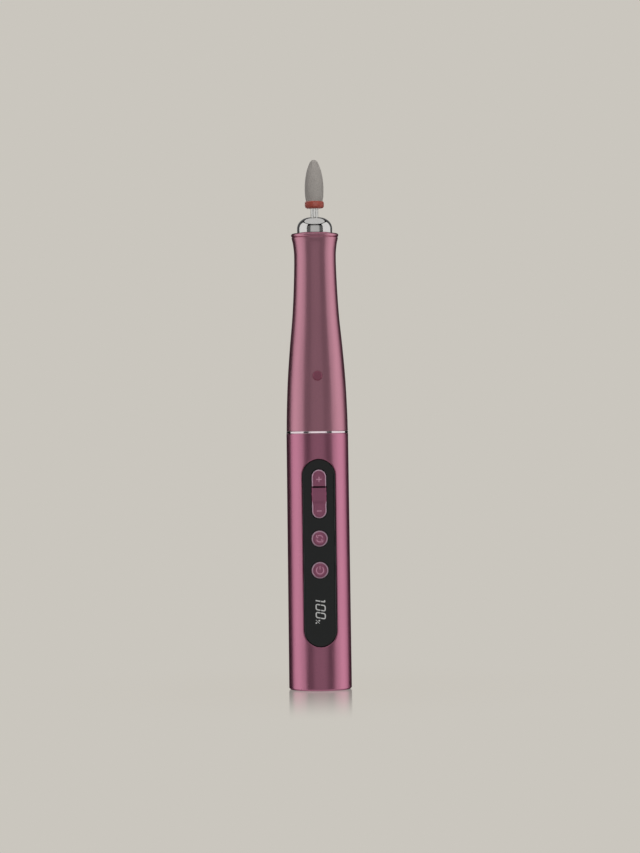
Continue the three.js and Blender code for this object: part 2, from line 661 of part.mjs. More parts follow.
/** Wire from the circuit board to a motor terminal. */
function motorWire(side) {
  const route = new THREE.CatmullRomCurve3([
    new THREE.Vector3(side * 2, BOARD_BACK_Y + 0.7, 72),
    new THREE.Vector3(side * 2.2, BOARD_BACK_Y + 0.9, 75),
    new THREE.Vector3(side * 4, -1.4, 79),
    new THREE.Vector3(side * 5.3, 0, 82),
    new THREE.Vector3(side * 5.3, 0, 84),
  ]);
  const section = new THREE.Shape();
  section.absarc(0, 0, 0.4, 0, 2 * HALF_TURN);
  return new THREE.ExtrudeGeometry(section, { steps: 12, curveSegments: 4, extrudePath: route });
}

/** Headless screw that locks the motor sleeve, with a hexagon socket in its outer end. */
function setScrew() {
  return cut(pinY(1, -8.3, -7.25, 0, PLUG_Z, SMALL_SIDES), pinY(0.5, -9, -7.8, 0, PLUG_Z, 6));
}

add('set_screw', setScrew(), STEEL);
add('motor_sleeve', motorSleeve(), ALUMINIUM);
add('motor_can', motorCan(), NICKEL);
add('motor_magnet_left', motorMagnet(-1), FERRITE);
add('motor_magnet_right', motorMagnet(1), FERRITE);
add('motor_end_cap', motorEndCap(), WHITE_PLASTIC);
add('motor_brush_left', motorBrush(-1), COPPER);
add('motor_brush_right', motorBrush(1), COPPER);
add('motor_wire_red', motorWire(1), WIRE_RED);
add('motor_wire_black', motorWire(-1), WIRE_BLACK);
add('motor_shaft', tube(0, MOTOR_SHAFT_R, 84.6, 113.4, SMALL_SIDES), STEEL);
add('armature', armature(), COPPER);
add('commutator', commutator(), BRASS);

// ---- Bearings ----

const GROOVE_R = BALL_R + 0.14;
const OUTER_RACE_BORE_R = 4.15;
const INNER_RACE_R = 3.35;

/** Race with a ball groove; the outer race's groove faces in and the inner race's faces out. */
function bearingRace(lowZ, isOuter) {
  const middleZ = lowZ + BEARING_HEIGHT / 2;
  const highZ = lowZ + BEARING_HEIGHT;
  const reach = Math.abs((isOuter ? OUTER_RACE_BORE_R : INNER_RACE_R) - BALL_PITCH_R);
  const half = THREE.MathUtils.radToDeg(Math.acos(reach / GROOVE_R));
  if (isOuter) {
    return revolve([
      at(OUTER_RACE_BORE_R, lowZ), at(BEARING_OUTER_R, lowZ),
      at(BEARING_OUTER_R, highZ), at(OUTER_RACE_BORE_R, highZ),
      ...arc(BALL_PITCH_R, middleZ, GROOVE_R, half, -half, 4),
    ]);
  }
  return revolve([
    at(BEARING_BORE_R, lowZ), at(INNER_RACE_R, lowZ),
    ...arc(BALL_PITCH_R, middleZ, GROOVE_R, 180 + half, 180 - half, 4),
    at(INNER_RACE_R, highZ), at(BEARING_BORE_R, highZ),
  ]);
}

/** The balls, carried in their cage ring. */
function ballCage(lowZ) {
  const middleZ = lowZ + BEARING_HEIGHT / 2;
  const ring = tube(3.55, 3.95, middleZ - 0.45, middleZ + 0.45, 2 * BALL_COUNT);
  const balls = Array.from({ length: BALL_COUNT }, (_, k) => {
    const ball = new THREE.SphereGeometry(BALL_R, 6, 4).translate(BALL_PITCH_R, 0, middleZ);
    return ball.rotateZ((k * 2 * HALF_TURN) / BALL_COUNT);
  });
  return joined(ring, ...balls);
}

function bearingCartridge() {
  return revolve([
    at(4.6, 110.4), at(5.5, 110.4), at(5.5, 139.5), at(5.06, 139.5),
    at(5.06, 117.9), at(4.6, 117.9),
  ], MIDDLE_SIDES);
}

/** Ring bent into three waves, pressing the outer races apart. */
function preloadSpring() {
  const ring = new THREE.LatheGeometry(
    [at(4.2, 133), at(4.9, 133), at(4.9, 133.2), at(4.2, 133.2), at(4.2, 133)], 24,
  ).rotateX(QUARTER_TURN);
  const corners = ring.attributes.position;
  for (let i = 0; i < corners.count; i += 1) {
    const angle = Math.atan2(corners.getY(i), corners.getX(i));
    corners.setZ(i, corners.getZ(i) + 0.3 * (1 + Math.sin(3 * angle)));
  }
  return ring;
}

add('bearing_cartridge', bearingCartridge(), ALUMINIUM);
add('bearing_spacer', tube(4.3, 4.95, 122.05, 132.9), ALUMINIUM);
add('preload_spring', preloadSpring(), STEEL);
for (const [name, z] of Object.entries({ front: FRONT_BEARING_Z, rear: REAR_BEARING_Z })) {
  add(`${name}_bearing_outer_race`, bearingRace(z, true), STEEL);
  add(`${name}_bearing_inner_race`, bearingRace(z, false), STEEL);
  add(`${name}_bearing_balls`, ballCage(z), STEEL);
}

// ---- Spindle, coupling and collet ----

/** Hollow spindle: tail spigot, shoulder between the bearings, collet bore at the front. */
function spindle() {
  const boreR = COLLET_R + 0.06;
  return revolve([
    at(0, 114), at(1.25, 114), at(1.25, 117.2), at(SPINDLE_R, 117.6), at(SPINDLE_R, 122.05),
    at(2.95, 122.05), at(2.95, 133.9), at(SPINDLE_R, 133.9), at(SPINDLE_R, SPINDLE_TOP_Z),
    at(boreR + 0.2, SPINDLE_TOP_Z), at(boreR, SPINDLE_TOP_Z - 0.3), at(boreR, 145),
    at(boreR + 0.3, 145), at(boreR + 0.3, 143.8), at(boreR, 143.8), at(boreR, 124.6), at(0, 124),
  ]);
}

/** Slotted sleeve that grips the shank. */
function collet() {
  const sleeve = revolve([
    at(1.22, 131), at(COLLET_R, 131), at(COLLET_R, 147.1), at(COLLET_R - 0.2, 147.4), at(1.22, 147.4),
  ]);
  const slots = [0, QUARTER_TURN].map((turn) => block([-3, -0.15, 138.5], [3, 0.15, 149]).rotateZ(turn));
  return cut(sleeve, ...slots);
}

/** Open spring ring round the collet's fingers. */
function colletRing() {
  const ring = tube(COLLET_R + 0.06, COLLET_R + 0.3, 144, 144.8);
  return cut(ring, block([0, -0.5, 140], [4, 0.5, 150]));
}

function driveCoupling() {
  const body = revolve([
    at(0, 110.6), at(2.2, 110.6), at(2.4, 110.8), at(2.4, 116.8), at(2.2, 117), at(0, 117),
  ]);
  return cut(
    body,
    tube(0, MOTOR_SHAFT_R + 0.05, 110, 113.7, SMALL_SIDES),
    tube(0, 1.3, 113.7, 118),
  );
}

add('spindle', spindle(), STEEL);
add('collet', collet(), BRASS);
add('collet_ring', colletRing(), STEEL);
add('drive_coupling', driveCoupling(), BRASS);

// ---- Grinding bit ----

function bitShank() {
  return revolve([
    at(0, SHANK_LOW_Z), at(SHANK_R - 0.2, SHANK_LOW_Z), at(SHANK_R, SHANK_LOW_Z + 0.3),
    at(SHANK_R, BAND_LOW_Z - 0.02), at(0, BAND_LOW_Z - 0.02),
  ]);
}

/** Red grit band: a ring with a well rounded lower edge. */
function bitBand() {
  const [radius, lowRound, highRound] = [3.05, 0.9, 0.45];
  return revolve([
    at(0, BAND_LOW_Z),
    ...arc(radius - lowRound, BAND_LOW_Z + lowRound, lowRound, -90, 0, 3),
    ...arc(radius - highRound, BAND_HIGH_Z - highRound, highRound, 0, 90, 2),
    at(0, BAND_HIGH_Z),
  ]);
}

/** Ceramic flame: widest near its base, tapering to a rounded tip. */
function bitHead() {
  const flame = new THREE.SplineCurve([
    at(2.65, BAND_HIGH_Z + 0.02), at(2.9, 156.6), at(2.99, 158.8), at(2.9, 161), at(2.6, 163.2),
    at(2.14, 165.2), at(1.5, 166.85), at(1.2, 167.5), at(0.72, 168.02), at(0.3, 168.17),
  ]);
  return revolve([
    at(0, BAND_HIGH_Z + 0.02), ...flame.getPoints(9), at(0, TIP_Z),
  ], MIDDLE_SIDES);
}

add('bit_shank', bitShank(), STEEL);
add('bit_band', bitBand(), BAND_RED);
add('bit_head', bitHead(), CERAMIC);

export default grinder;
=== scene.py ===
"""Looks for the electric nail grinder: fine outer pieces, finishes, camera and a plain pale studio."""

import json
import math

import bmesh
import bpy
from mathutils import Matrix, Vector


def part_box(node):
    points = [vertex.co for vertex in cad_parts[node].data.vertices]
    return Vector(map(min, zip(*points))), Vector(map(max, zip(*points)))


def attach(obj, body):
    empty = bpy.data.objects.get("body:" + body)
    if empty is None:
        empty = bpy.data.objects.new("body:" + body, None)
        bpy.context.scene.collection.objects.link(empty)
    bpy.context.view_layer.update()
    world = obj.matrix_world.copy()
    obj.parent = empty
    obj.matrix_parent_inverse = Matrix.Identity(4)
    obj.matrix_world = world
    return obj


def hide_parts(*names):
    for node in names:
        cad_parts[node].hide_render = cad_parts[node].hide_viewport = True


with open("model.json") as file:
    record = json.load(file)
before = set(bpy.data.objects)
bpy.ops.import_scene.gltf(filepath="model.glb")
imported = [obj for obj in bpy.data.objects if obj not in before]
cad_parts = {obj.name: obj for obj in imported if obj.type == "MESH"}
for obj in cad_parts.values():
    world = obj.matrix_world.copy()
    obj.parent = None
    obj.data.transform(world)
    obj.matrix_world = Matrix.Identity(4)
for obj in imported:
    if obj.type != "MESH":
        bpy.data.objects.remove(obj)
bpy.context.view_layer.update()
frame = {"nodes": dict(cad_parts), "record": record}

MM = 0.001
SHARP_ANGLE = math.radians(32)
MERGE_DISTANCE = 1e-7
TIP_MARGIN = 1e-4
ROUNDING_STEP = math.radians(14)


def box(node):
    """Lowest and highest corner of a CAD node, in millimetres."""
    low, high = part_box(node)
    return low / MM, high / MM


# ---- Sizes, in millimetres ----

REAR_HIGH = box("rear_shell")[1]
RING_LOW, RING_HIGH = box("joint_ring")
FRONT_LOW, FRONT_HIGH = box("front_shell")
NOSE_HIGH = box("nose_cap")[1]
PANEL_LOW, PANEL_HIGH = box("control_panel")
ROCKER_LOW, ROCKER_HIGH = box("speed_rocker")
SHANK_LOW, SHANK_HIGH = box("bit_shank")
BAND_LOW, BAND_HIGH = box("bit_band")
HEAD_LOW, HEAD_HIGH = box("bit_head")
TAIL_LOW, TAIL_HIGH = box("tail_cap")
SOCKET_LOW, SOCKET_HIGH = box("usb_socket_shell")
TONGUE_LOW, TONGUE_HIGH = box("usb_socket_tongue")

TAIL_R = REAR_HIGH.x
JOINT_R = RING_HIGH.x
BORE_R = 8.75
MOTOR_BORE_R = 7.8
CARTRIDGE_BORE_R = 5.6
CARTRIDGE_SEAT_Z = 109.6
COUPLER_TOP_Z = 88.6
PANEL_GAP = 0.15
SLOT_HALF = PANEL_HIGH.x + PANEL_GAP
SLOT_RIM = 0.2
CROWN_R = 11.9
CROWN_Y = PANEL_LOW.y + CROWN_R
PANEL_THICKNESS = 1.3
ROCKER_HALF = 2.25
ROCKER_GAP = 0.2
BUTTON_GAP = 0.15
FLANGE_R = 0.5
PLUG_SEAT_R = 1.54
PLUG_SEAT_Y = -8.45
SCREW_HOLE_R = 1.05
ROCKER_PIVOT = Vector((0, -7, (ROCKER_LOW.z + ROCKER_HIGH.z) / 2))


def centre_of(node):
    low, high = box(node)
    return (low + high) / 2


DIRECTION_Z = centre_of("direction_button").z
POWER_Z = centre_of("power_button").z
PLUG_Z = centre_of("set_screw_plug").z
DIRECTION_R = box("direction_button")[1].x - FLANGE_R
POWER_R = box("power_button")[1].x - FLANGE_R
BUTTON_FACE_Y = box("power_button")[0].y


# ---- Curve helpers ----


def rounded(corners, closed=False):
    """Path through corners given as (a, b, radius), each corner rounded by its radius."""
    path = []
    count = len(corners)
    for i, (a, b, radius) in enumerate(corners):
        corner = Vector((a, b))
        at_end = not closed and i in (0, count - 1)
        if at_end or radius == 0:
            path.append((a, b))
            continue
        back = (Vector(corners[i - 1][:2]) - corner).normalized()
        ahead = (Vector(corners[(i + 1) % count][:2]) - corner).normalized()
        turn = math.pi - back.angle(ahead)
        reach = radius * math.tan(turn / 2)
        centre = corner + (back + ahead).normalized() * (radius / math.cos(turn / 2))
        start = corner + back * reach - centre
        end = corner + ahead * reach - centre
        sweep = math.atan2(start.x * end.y - start.y * end.x, start.dot(end))
        steps = max(3, round(turn / ROUNDING_STEP))
        for k in range(steps + 1):
            angle = sweep * k / steps
            path.append((
                centre.x + start.x * math.cos(angle) - start.y * math.sin(angle),
                centre.y + start.x * math.sin(angle) + start.y * math.cos(angle),
            ))
    return path


def spline(points, steps):
    """Smooth curve through the points."""
    last = len(points) - 1
    path = []
    for i in range(steps + 1):
        place = i / steps * last
        k = min(int(place), last - 1)
        f = place - k
        a, b, c, d = (Vector(points[min(max(k + j, 0), last)]) for j in (-1, 0, 1, 2))
        bend = (2 * a - 5 * b + 4 * c - d) * f**2 + (3 * b - a - 3 * c + d) * f**3
        path.append(tuple((2 * b + (c - a) * f + bend) / 2))
    return path


def arc(centre, radii, start, end, steps):
    """Points along an elliptical arc; angles in degrees."""
    angles = [math.radians(start + (end - start) * k / steps) for k in range(steps + 1)]
    return [(centre[0] + radii[0] * math.cos(t), centre[1] + radii[1] * math.sin(t)) for t in angles]


def between(low, high, steps):
    return [low + (high - low) * k / steps for k in range(steps + 1)]


def ease(value):
    """Smooth step from 0 to 1."""
    t = min(max(value, 0), 1)
    return t * t * (3 - 2 * t)


class Stadium:
    """Round-ended outline on x = 0, seen from the front; a circle when it has no straight part."""

    def __init__(self, half, low, high, levels=(), cap_steps=14):
        self.half = half
        self.low = low + half
        self.high = high - half
        self.levels = [z for z in levels if self.low < z < self.high]
        self.cap_steps = cap_steps

    def side(self, grow=0):
        """Right-hand side from the bottom tip to the top tip."""
        radius = self.half + grow
        size = (radius, radius)
        lower = arc((0, self.low), size, -90, 0, self.cap_steps)
        upper = arc((0, self.high), size, 0, 90, self.cap_steps)
        if self.high - self.low < 1e-6:
            upper = upper[1:]
        return lower + [(radius, z) for z in self.levels] + upper

    def loop(self, grow=0):
        side = self.side(grow)
        return side + [(-x, z) for x, z in reversed(side[1:-1])]

    def reach(self, z, grow=0):
        """Half the outline's width at a height, and the outline's normal there."""
        radius = self.half + grow
        beyond = z - min(max(z, self.low), self.high)
        at_tip = abs(beyond) > radius - TIP_MARGIN
        half = 0 if at_tip else math.sqrt(radius * radius - beyond * beyond)
        return half, (half / radius, beyond / radius)

    def spans(self, z, grow=0):
        reach = self.half + grow + TIP_MARGIN
        return self.low - reach <= z <= self.high + reach


def disc(radius, z, cap_steps):
    """Round outline about x = 0 at a height."""
    return Stadium(radius, z - radius, z + radius, (), cap_steps)


# ---- Mesh builder ----


class Shell:
    """Points and faces of one piece, in millimetres."""

    def __init__(self):
        self.points = []
        self.faces = []

    def grid(self, rows, around=False, closed=False):
        """Quads between rows of points; around joins a row's ends, closed joins last row to first."""
        base = len(self.points)
        width = len(rows[0])
        for row in rows:
            self.points.extend(row)
        row_pairs = [(i, i + 1) for i in range(len(rows) - 1)]
        if closed:
            row_pairs.append((len(rows) - 1, 0))
        column_pairs = [(j, j + 1) for j in range(width - 1)]
        if around:
            column_pairs.append((width - 1, 0))
        for low, high in ((base + i * width, base + k * width) for i, k in row_pairs):
            self.faces.extend((low + j, low + m, high + m, high + j) for j, m in column_pairs)

    def cap(self, loop):
        """One flat face across a loop of points."""
        base = len(self.points)
        self.points.extend(loop)
        self.faces.append(tuple(range(base, base + len(loop))))

    def turned(self, profile, steps, axis="Z", centre=(0, 0, 0)):
        """Turns a closed profile of (radius, height) points about an axis through centre."""
        x, y, z = centre
        place = {
            "Z": lambda r, h, c, s: (x + r * s, y - r * c, h),
            "Y": lambda r, h, c, s: (x + r * s, h, z + r * c),
            "X": lambda r, h, c, s: (h, y + r * s, z + r * c),
        }[axis]
        turns = [(math.cos(t), math.sin(t)) for t in (2 * math.pi * k / steps for k in range(steps))]
        self.grid([[place(r, h, c, s) for c, s in turns] for r, h in profile], around=True, closed=True)

    def block(self, low, high, bevel):
        """A box with rounded edges."""
        bm = bmesh.new()
        bmesh.ops.create_cube(bm, size=1)
        for vert in bm.verts:
            vert.co = Vector([(high[k] if vert.co[k] > 0 else low[k]) for k in range(3)])
        bmesh.ops.bevel(bm, geom=bm.edges, offset=bevel, segments=3, profile=0.5, affect="EDGES")
        base = len(self.points)
        bm.verts.index_update()
        self.points.extend(tuple(vert.co) for vert in bm.verts)
        self.faces.extend(tuple(base + vert.index for vert in face.verts) for face in bm.faces)
        bm.free()

    def build(self, name, sharp=SHARP_ANGLE):
        """The finished object, in metres, closed and with outward faces."""
        mesh = bpy.data.meshes.new(name)
        mesh.from_pydata([tuple(c * MM for c in point) for point in self.points], [], self.faces)
        bm = bmesh.new()
        bm.from_mesh(mesh)
        bmesh.ops.remove_doubles(bm, verts=bm.verts, dist=MERGE_DISTANCE)
        bmesh.ops.dissolve_degenerate(bm, edges=bm.edges, dist=MERGE_DISTANCE)
        bmesh.ops.recalc_face_normals(bm, faces=bm.faces)
        bm.to_mesh(mesh)
        bm.free()
        mesh.shade_smooth()
        mesh.set_sharp_from_angle(angle=sharp)
        piece = bpy.data.objects.new(name, mesh)
        bpy.context.scene.collection.objects.link(piece)
        return piece


def turned_piece(name, profile, *turning):
    """A piece that is one turned profile; turning is what Shell.turned takes after the profile."""
    shell = Shell()
    shell.turned(profile, *turning)
    return shell.build(name)


# ---- Camera ----

VIEW_DISTANCE = 1.0
VIEW_HEIGHT = 0.0834
VIEW_SPAN = 0.2713
VIEW_AIM_X = 0.0009
VIEW_AZIMUTH = math.radians(-2)
VIEW_ROLL = math.radians(0.75)


def make_camera():
    """Level camera in front of the keys, far enough away to keep the sides nearly parallel."""
    data = bpy.data.cameras.new("camera")
    data.sensor_width = 36
    data.lens = data.sensor_width * VIEW_DISTANCE / VIEW_SPAN
    camera = bpy.data.objects.new("camera", data)
    bpy.context.scene.collection.objects.link(camera)
    aside = math.sin(VIEW_AZIMUTH) * VIEW_DISTANCE
    away = -math.cos(VIEW_AZIMUTH) * VIEW_DISTANCE
    camera.location = (VIEW_AIM_X + aside, away, VIEW_HEIGHT)
    camera.rotation_mode = "XYZ"
    camera.rotation_euler = (math.pi / 2, VIEW_ROLL, VIEW_AZIMUTH)
    bpy.context.scene.camera = camera


make_camera()


# ---- Finishes ----

TEXTURE_RANGE = (0.3, 0.7)
FINISHES = {}


class Finish:
    """A Principled material whose colour, roughness and surface vary with procedural texture.

    Each is kept in FINISHES under its name.
    """

    def __init__(self, name, colour, roughness, metallic=0.0, **sockets):
        self.material = FINISHES[name] = bpy.data.materials.new(name)
        self.material.use_nodes = True
        self.nodes = self.material.node_tree.nodes
        self.links = self.material.node_tree.links
        self.shader = self.nodes["Principled BSDF"]
        self.colour = (*colour, 1)
        self.shader.inputs["Base Color"].default_value = self.colour
        self.shader.inputs["Roughness"].default_value = roughness
        self.shader.inputs["Metallic"].default_value = metallic
        for socket, value in sockets.items():
            self.shader.inputs[socket.replace("_", " ").title()].default_value = value
        self.place = self.nodes.new("ShaderNodeTexCoord").outputs["Object"]

    def node(self, kind, inputs=(), **settings):
        """A new node; inputs are (socket, value or output) pairs."""
        made = self.nodes.new(kind)
        for key, value in settings.items():
            setattr(made, key, value)
        for socket, value in inputs:
            if isinstance(value, bpy.types.NodeSocket):
                self.links.new(value, made.inputs[socket])
            else:
                made.inputs[socket].default_value = value
        return made

    def noise(self, scale, stretch=(1, 1, 1), detail=4, offset=0):
        mapping = self.node("ShaderNodeMapping", [
            ("Vector", self.place), ("Scale", stretch), ("Location", (offset, offset * 2, offset * 3)),
        ])
        return self.node("ShaderNodeTexNoise", [
            ("Vector", mapping.outputs["Vector"]), ("Scale", scale), ("Detail", detail),
        ]).outputs["Fac"]

    def lines(self, scale, direction="Z", distortion=0.0):
        return self.node("ShaderNodeTexWave", [
            ("Vector", self.place), ("Scale", scale), ("Distortion", distortion), ("Detail", 2.0),
        ], wave_type="BANDS", bands_direction=direction).outputs["Fac"]

    def scaled(self, value, low, high):
        start, end = TEXTURE_RANGE
        return self.node("ShaderNodeMapRange", [
            ("Value", value), ("From Min", start), ("From Max", end), ("To Min", low), ("To Max", high),
        ]).outputs["Result"]

    def mottle(self, value, amount):
        """Darkens and lightens the colour by a share, following a texture."""
        ramp = self.node("ShaderNodeValToRGB", [("Fac", value)])
        shares = (1 - amount, 1 + amount)
        for stop, position, share in zip(ramp.color_ramp.elements, TEXTURE_RANGE, shares):
            stop.position = position
            stop.color = [min(c * share, 1) for c in self.colour[:3]] + [1]
        self.links.new(ramp.outputs["Color"], self.shader.inputs["Base Color"])

    def polish(self, value, low, high):
        """Roughness between two values, following a texture."""
        self.links.new(self.scaled(value, low, high), self.shader.inputs["Roughness"])

    def relief(self, value, height, strength=1.0):
        """Fine bumps of a height in metres; several layers stack."""
        inputs = [("Height", value), ("Strength", strength), ("Distance", height)]
        below = self.shader.inputs["Normal"]
        if below.is_linked:
            inputs.append(("Normal", below.links[0].from_socket))
        bump = self.node("ShaderNodeBump", inputs)
        self.links.new(bump.outputs["Normal"], below)


EDGE_TINT = (0.4, 0.2, 0.28, 1)


def anodised(name, colour, roughness):
    """Satin anodised aluminium: very fine blasted grain, faint drawn streaks, hard clear oxide."""
    coat = {"coat_weight": 0.2, "coat_roughness": 0.22}
    made = Finish(name, colour, roughness, 1.0, specular_tint=EDGE_TINT, **coat)
    made.mottle(made.noise(2600, detail=6), 0.035)
    made.polish(made.noise(700, (1, 1, 0.08)), roughness - 0.03, roughness + 0.03)
    made.relief(made.noise(9000, detail=2), 2.2e-6, 0.35)
    made.relief(made.noise(1500, (1, 1, 0.03), 3, 1), 2.0e-6, 0.25)


def polished(name, colour, roughness):
    """Bright plated metal with faint wiping marks."""
    made = Finish(name, colour, roughness, 1.0)
    made.mottle(made.noise(900), 0.02)
    made.polish(made.noise(1600, (1, 1, 0.25)), roughness - 0.03, roughness + 0.03)
    made.relief(made.noise(5200, detail=3), 0.6e-6, 0.2)


def turned_metal(name, colour, roughness, pitch=5200):
    """Lathe-turned metal with fine tool lines round the axis."""
    made = Finish(name, colour, roughness, 1.0)
    made.mottle(made.noise(1300), 0.05)
    made.polish(made.noise(3000, (0.2, 0.2, 1)), roughness - 0.05, roughness + 0.08)
    made.relief(made.lines(pitch, "Z", 1.5), 1.5e-6, 0.4)


def grained(name, colour, roughness, metallic, cloud, gloss, grain, **sockets):
    """Clouded, unevenly glossy and grainy.

    cloud is (scale, detail, share), gloss (scale, low, high), and grain (scale, detail, height, strength).
    """
    made = Finish(name, colour, roughness, metallic, **sockets)
    made.mottle(made.noise(cloud[0], detail=cloud[1]), cloud[2])
    made.polish(made.noise(gloss[0]), *gloss[1:])
    made.relief(made.noise(grain[0], detail=grain[1]), *grain[2:])


def moulded(name, colour, roughness, grain=4200, height=5e-6, **sockets):
    """Moulded plastic with a fine spark-eroded texture."""
    gloss = (1500, roughness - 0.06, roughness + 0.06)
    grained(name, colour, roughness, 0.0, (600, 4, 0.06), gloss, (grain, 3, height, 0.5), **sockets)


def glossy_black():
    """Black acrylic window: clear gloss with a trace of fine scratches."""
    made = Finish("black_gloss", (0.008, 0.0105, 0.0098), 0.12, 0.0, coat_weight=0.3, coat_roughness=0.05)
    made.mottle(made.noise(400), 0.12)
    made.polish(made.noise(2400, (1, 1, 0.15)), 0.09, 0.16)
    made.relief(made.noise(7000, (1, 1, 0.1), 2), 0.4e-6, 0.15)


def key_metal():
    """Keys: pearl pink plastic with a metal flake."""
    grained("key_pink", (0.72, 0.24, 0.4), 0.36, 0.75, (5200, 5, 0.08), (2200, 0.31, 0.41),
            (9500, 2, 2.5e-6, 0.4), coat_weight=0.25, coat_roughness=0.25)


def ceramic():
    """Sintered ceramic: matte, speckled, with fine cutting marks."""
    grained("ceramic", (0.53, 0.49, 0.45), 0.72, 0.0, (3800, 7, 0.16), (1900, 0.62, 0.8),
            (5200, 6, 16e-6, 0.6))


def grit_band():
    """Painted red band with a slightly orange-peel surface."""
    grained("band_red", (0.5, 0.093, 0.062), 0.46, 0.0, (2300, 5, 0.14), (1400, 0.36, 0.5),
            (3600, 3, 7e-6, 0.4), coat_weight=0.1, coat_roughness=0.3)


def pale_marks_and_rim_highlight(name, colour):
    """Pale satin symbols on the keys, cut through the colour; the same pale satin is painted on the keys'
    rims as a painted highlight.
    """
    grained(name, colour, 0.42, 0.35, (4200, 4, 0.1), (1800, 0.37, 0.47), (8200, 4, 2e-6, 0.3),
            coat_weight=0.2, coat_roughness=0.3)


def lit_segments():
    """Display segments shining through the window, slightly uneven."""
    made = Finish("lit_segments", (0.2, 0.2, 0.2), 0.5, emission_color=(0.9, 0.9, 0.88, 1))
    glow = made.noise(2600, detail=2)
    made.links.new(made.scaled(glow, 0.32, 0.44), made.shader.inputs["Emission Strength"])
    made.mottle(glow, 0.1)


def woven_board():
    """Circuit board: solder mask over glass weave."""
    made = Finish("board_green", (0.014, 0.1, 0.04), 0.4, 0.0, coat_weight=0.3, coat_roughness=0.15)
    made.mottle(made.noise(900, detail=5), 0.15)
    made.relief(made.lines(1400, "Z"), 3e-6, 0.3)
    made.relief(made.lines(1400, "X"), 3e-6, 0.3)


def wound_copper():
    """Enamelled winding: close turns of copper wire."""
    made = Finish("copper", (0.6, 0.24, 0.1), 0.3, 1.0, coat_weight=0.3, coat_roughness=0.2)
    made.mottle(made.noise(1800), 0.12)
    made.polish(made.noise(2600), 0.24, 0.38)
    made.relief(made.lines(1100, "Z", 0.6), 14e-6, 0.7)


anodised("anodised_rear", (0.7, 0.262, 0.392), 0.3)
anodised("anodised_front", (0.69, 0.31, 0.4), 0.31)
polished("chrome", (0.8, 0.785, 0.765), 0.09)
polished("ring_chrome", (0.92, 0.78, 0.82), 0.1)
turned_metal("steel", (0.56, 0.56, 0.545), 0.24)
turned_metal("bit_steel", (0.8, 0.79, 0.76), 0.34)
glossy_black()
key_metal()
anodised("plug_pink", (0.62, 0.2, 0.3), 0.4)
ceramic()
grit_band()
turned_metal("brass", (0.62, 0.42, 0.14), 0.26)
turned_metal("aluminium", (0.6, 0.61, 0.62), 0.36)
woven_board()
moulded("black_plastic", (0.018, 0.018, 0.02), 0.5)
moulded("white_plastic", (0.68, 0.67, 0.62), 0.5, height=3e-6)
moulded("ferrite", (0.045, 0.043, 0.046), 0.66, 6000, 9e-6)
wound_copper()
moulded("cell_wrap", (0.05, 0.16, 0.34), 0.38, 1500, 6e-6, coat_weight=0.4)
turned_metal("nickel", (0.56, 0.53, 0.47), 0.28, 2600)
moulded("wire_red", (0.42, 0.02, 0.02), 0.42, 2600, 4e-6)
moulded("wire_black", (0.014, 0.014, 0.015), 0.44, 2600, 4e-6)
lit_segments()
pale_marks_and_rim_highlight("key_marks", (0.9, 0.42, 0.6))
# Pale rim finish: a painted highlight along the keys' edges.
pale_marks_and_rim_highlight("key_rim_highlight", (0.98, 0.63, 0.79))
# Painted shade: near-black finish for the groove under the plus pad.
moulded("key_groove_shade", (0.012, 0.004, 0.006), 0.6)


def dress_cad_nodes():
    """Gives each CAD node the finish of its slot."""
    for entry in frame["record"]["subparts"]:
        data = frame["nodes"][entry["node"]].data
        data.materials.clear()
        data.materials.append(FINISHES[entry["material_slot"]])


def paint(piece, finish, chosen):
    """Gives a second finish to the faces whose centres, in millimetres, are chosen."""
    piece.data.materials.append(FINISHES[finish])
    for face in piece.data.polygons:
        if chosen(face.center / MM):
            face.material_index = len(piece.data.materials) - 1


def place(piece, body, slot, *nodes, finish=None):
    """Finishes a piece, with its slot's finish unless another is given, ties it to its body and hides the
    CAD nodes it stands for.
    """
    piece.data.materials.append(FINISHES[finish or slot])
    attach(piece, body)
    if nodes:
        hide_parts(*nodes)


dress_cad_nodes()


# ---- Housing ----

NEAR_SLOT = math.radians(48)
NEAR_STEPS = 12
FAR_STEPS = 60


def shell_row(radius, z, opening=0.0):
    """Both halves of a ring of points, each from the opening's edge at the front round to the back."""
    first = math.asin(min(opening / radius, 1))
    angles = between(first, NEAR_SLOT, NEAR_STEPS) + between(NEAR_SLOT, math.pi, FAR_STEPS)[1:]
    return [[(side * radius * math.sin(t), -radius * math.cos(t), z) for t in angles] for side in (1, -1)]


def plain(points):
    """Rows of a wall, without an opening, for (radius, z) points."""
    return [(r, z, 0) for r, z in points]


def open_shell(shell, rows):
    """A closed turned wall whose rows are (radius, z, half width of the opening at the front)."""
    halves = [shell_row(*row) for row in rows]
    for k in (0, 1):
        shell.grid([half[k] for half in halves], closed=True)


def on_round(loop, radius):
    """Lays an outline on a round surface, in front of the axis."""
    return [(x, -math.sqrt(max(radius(z) ** 2 - x * x, 0)), z) for x, z in loop]


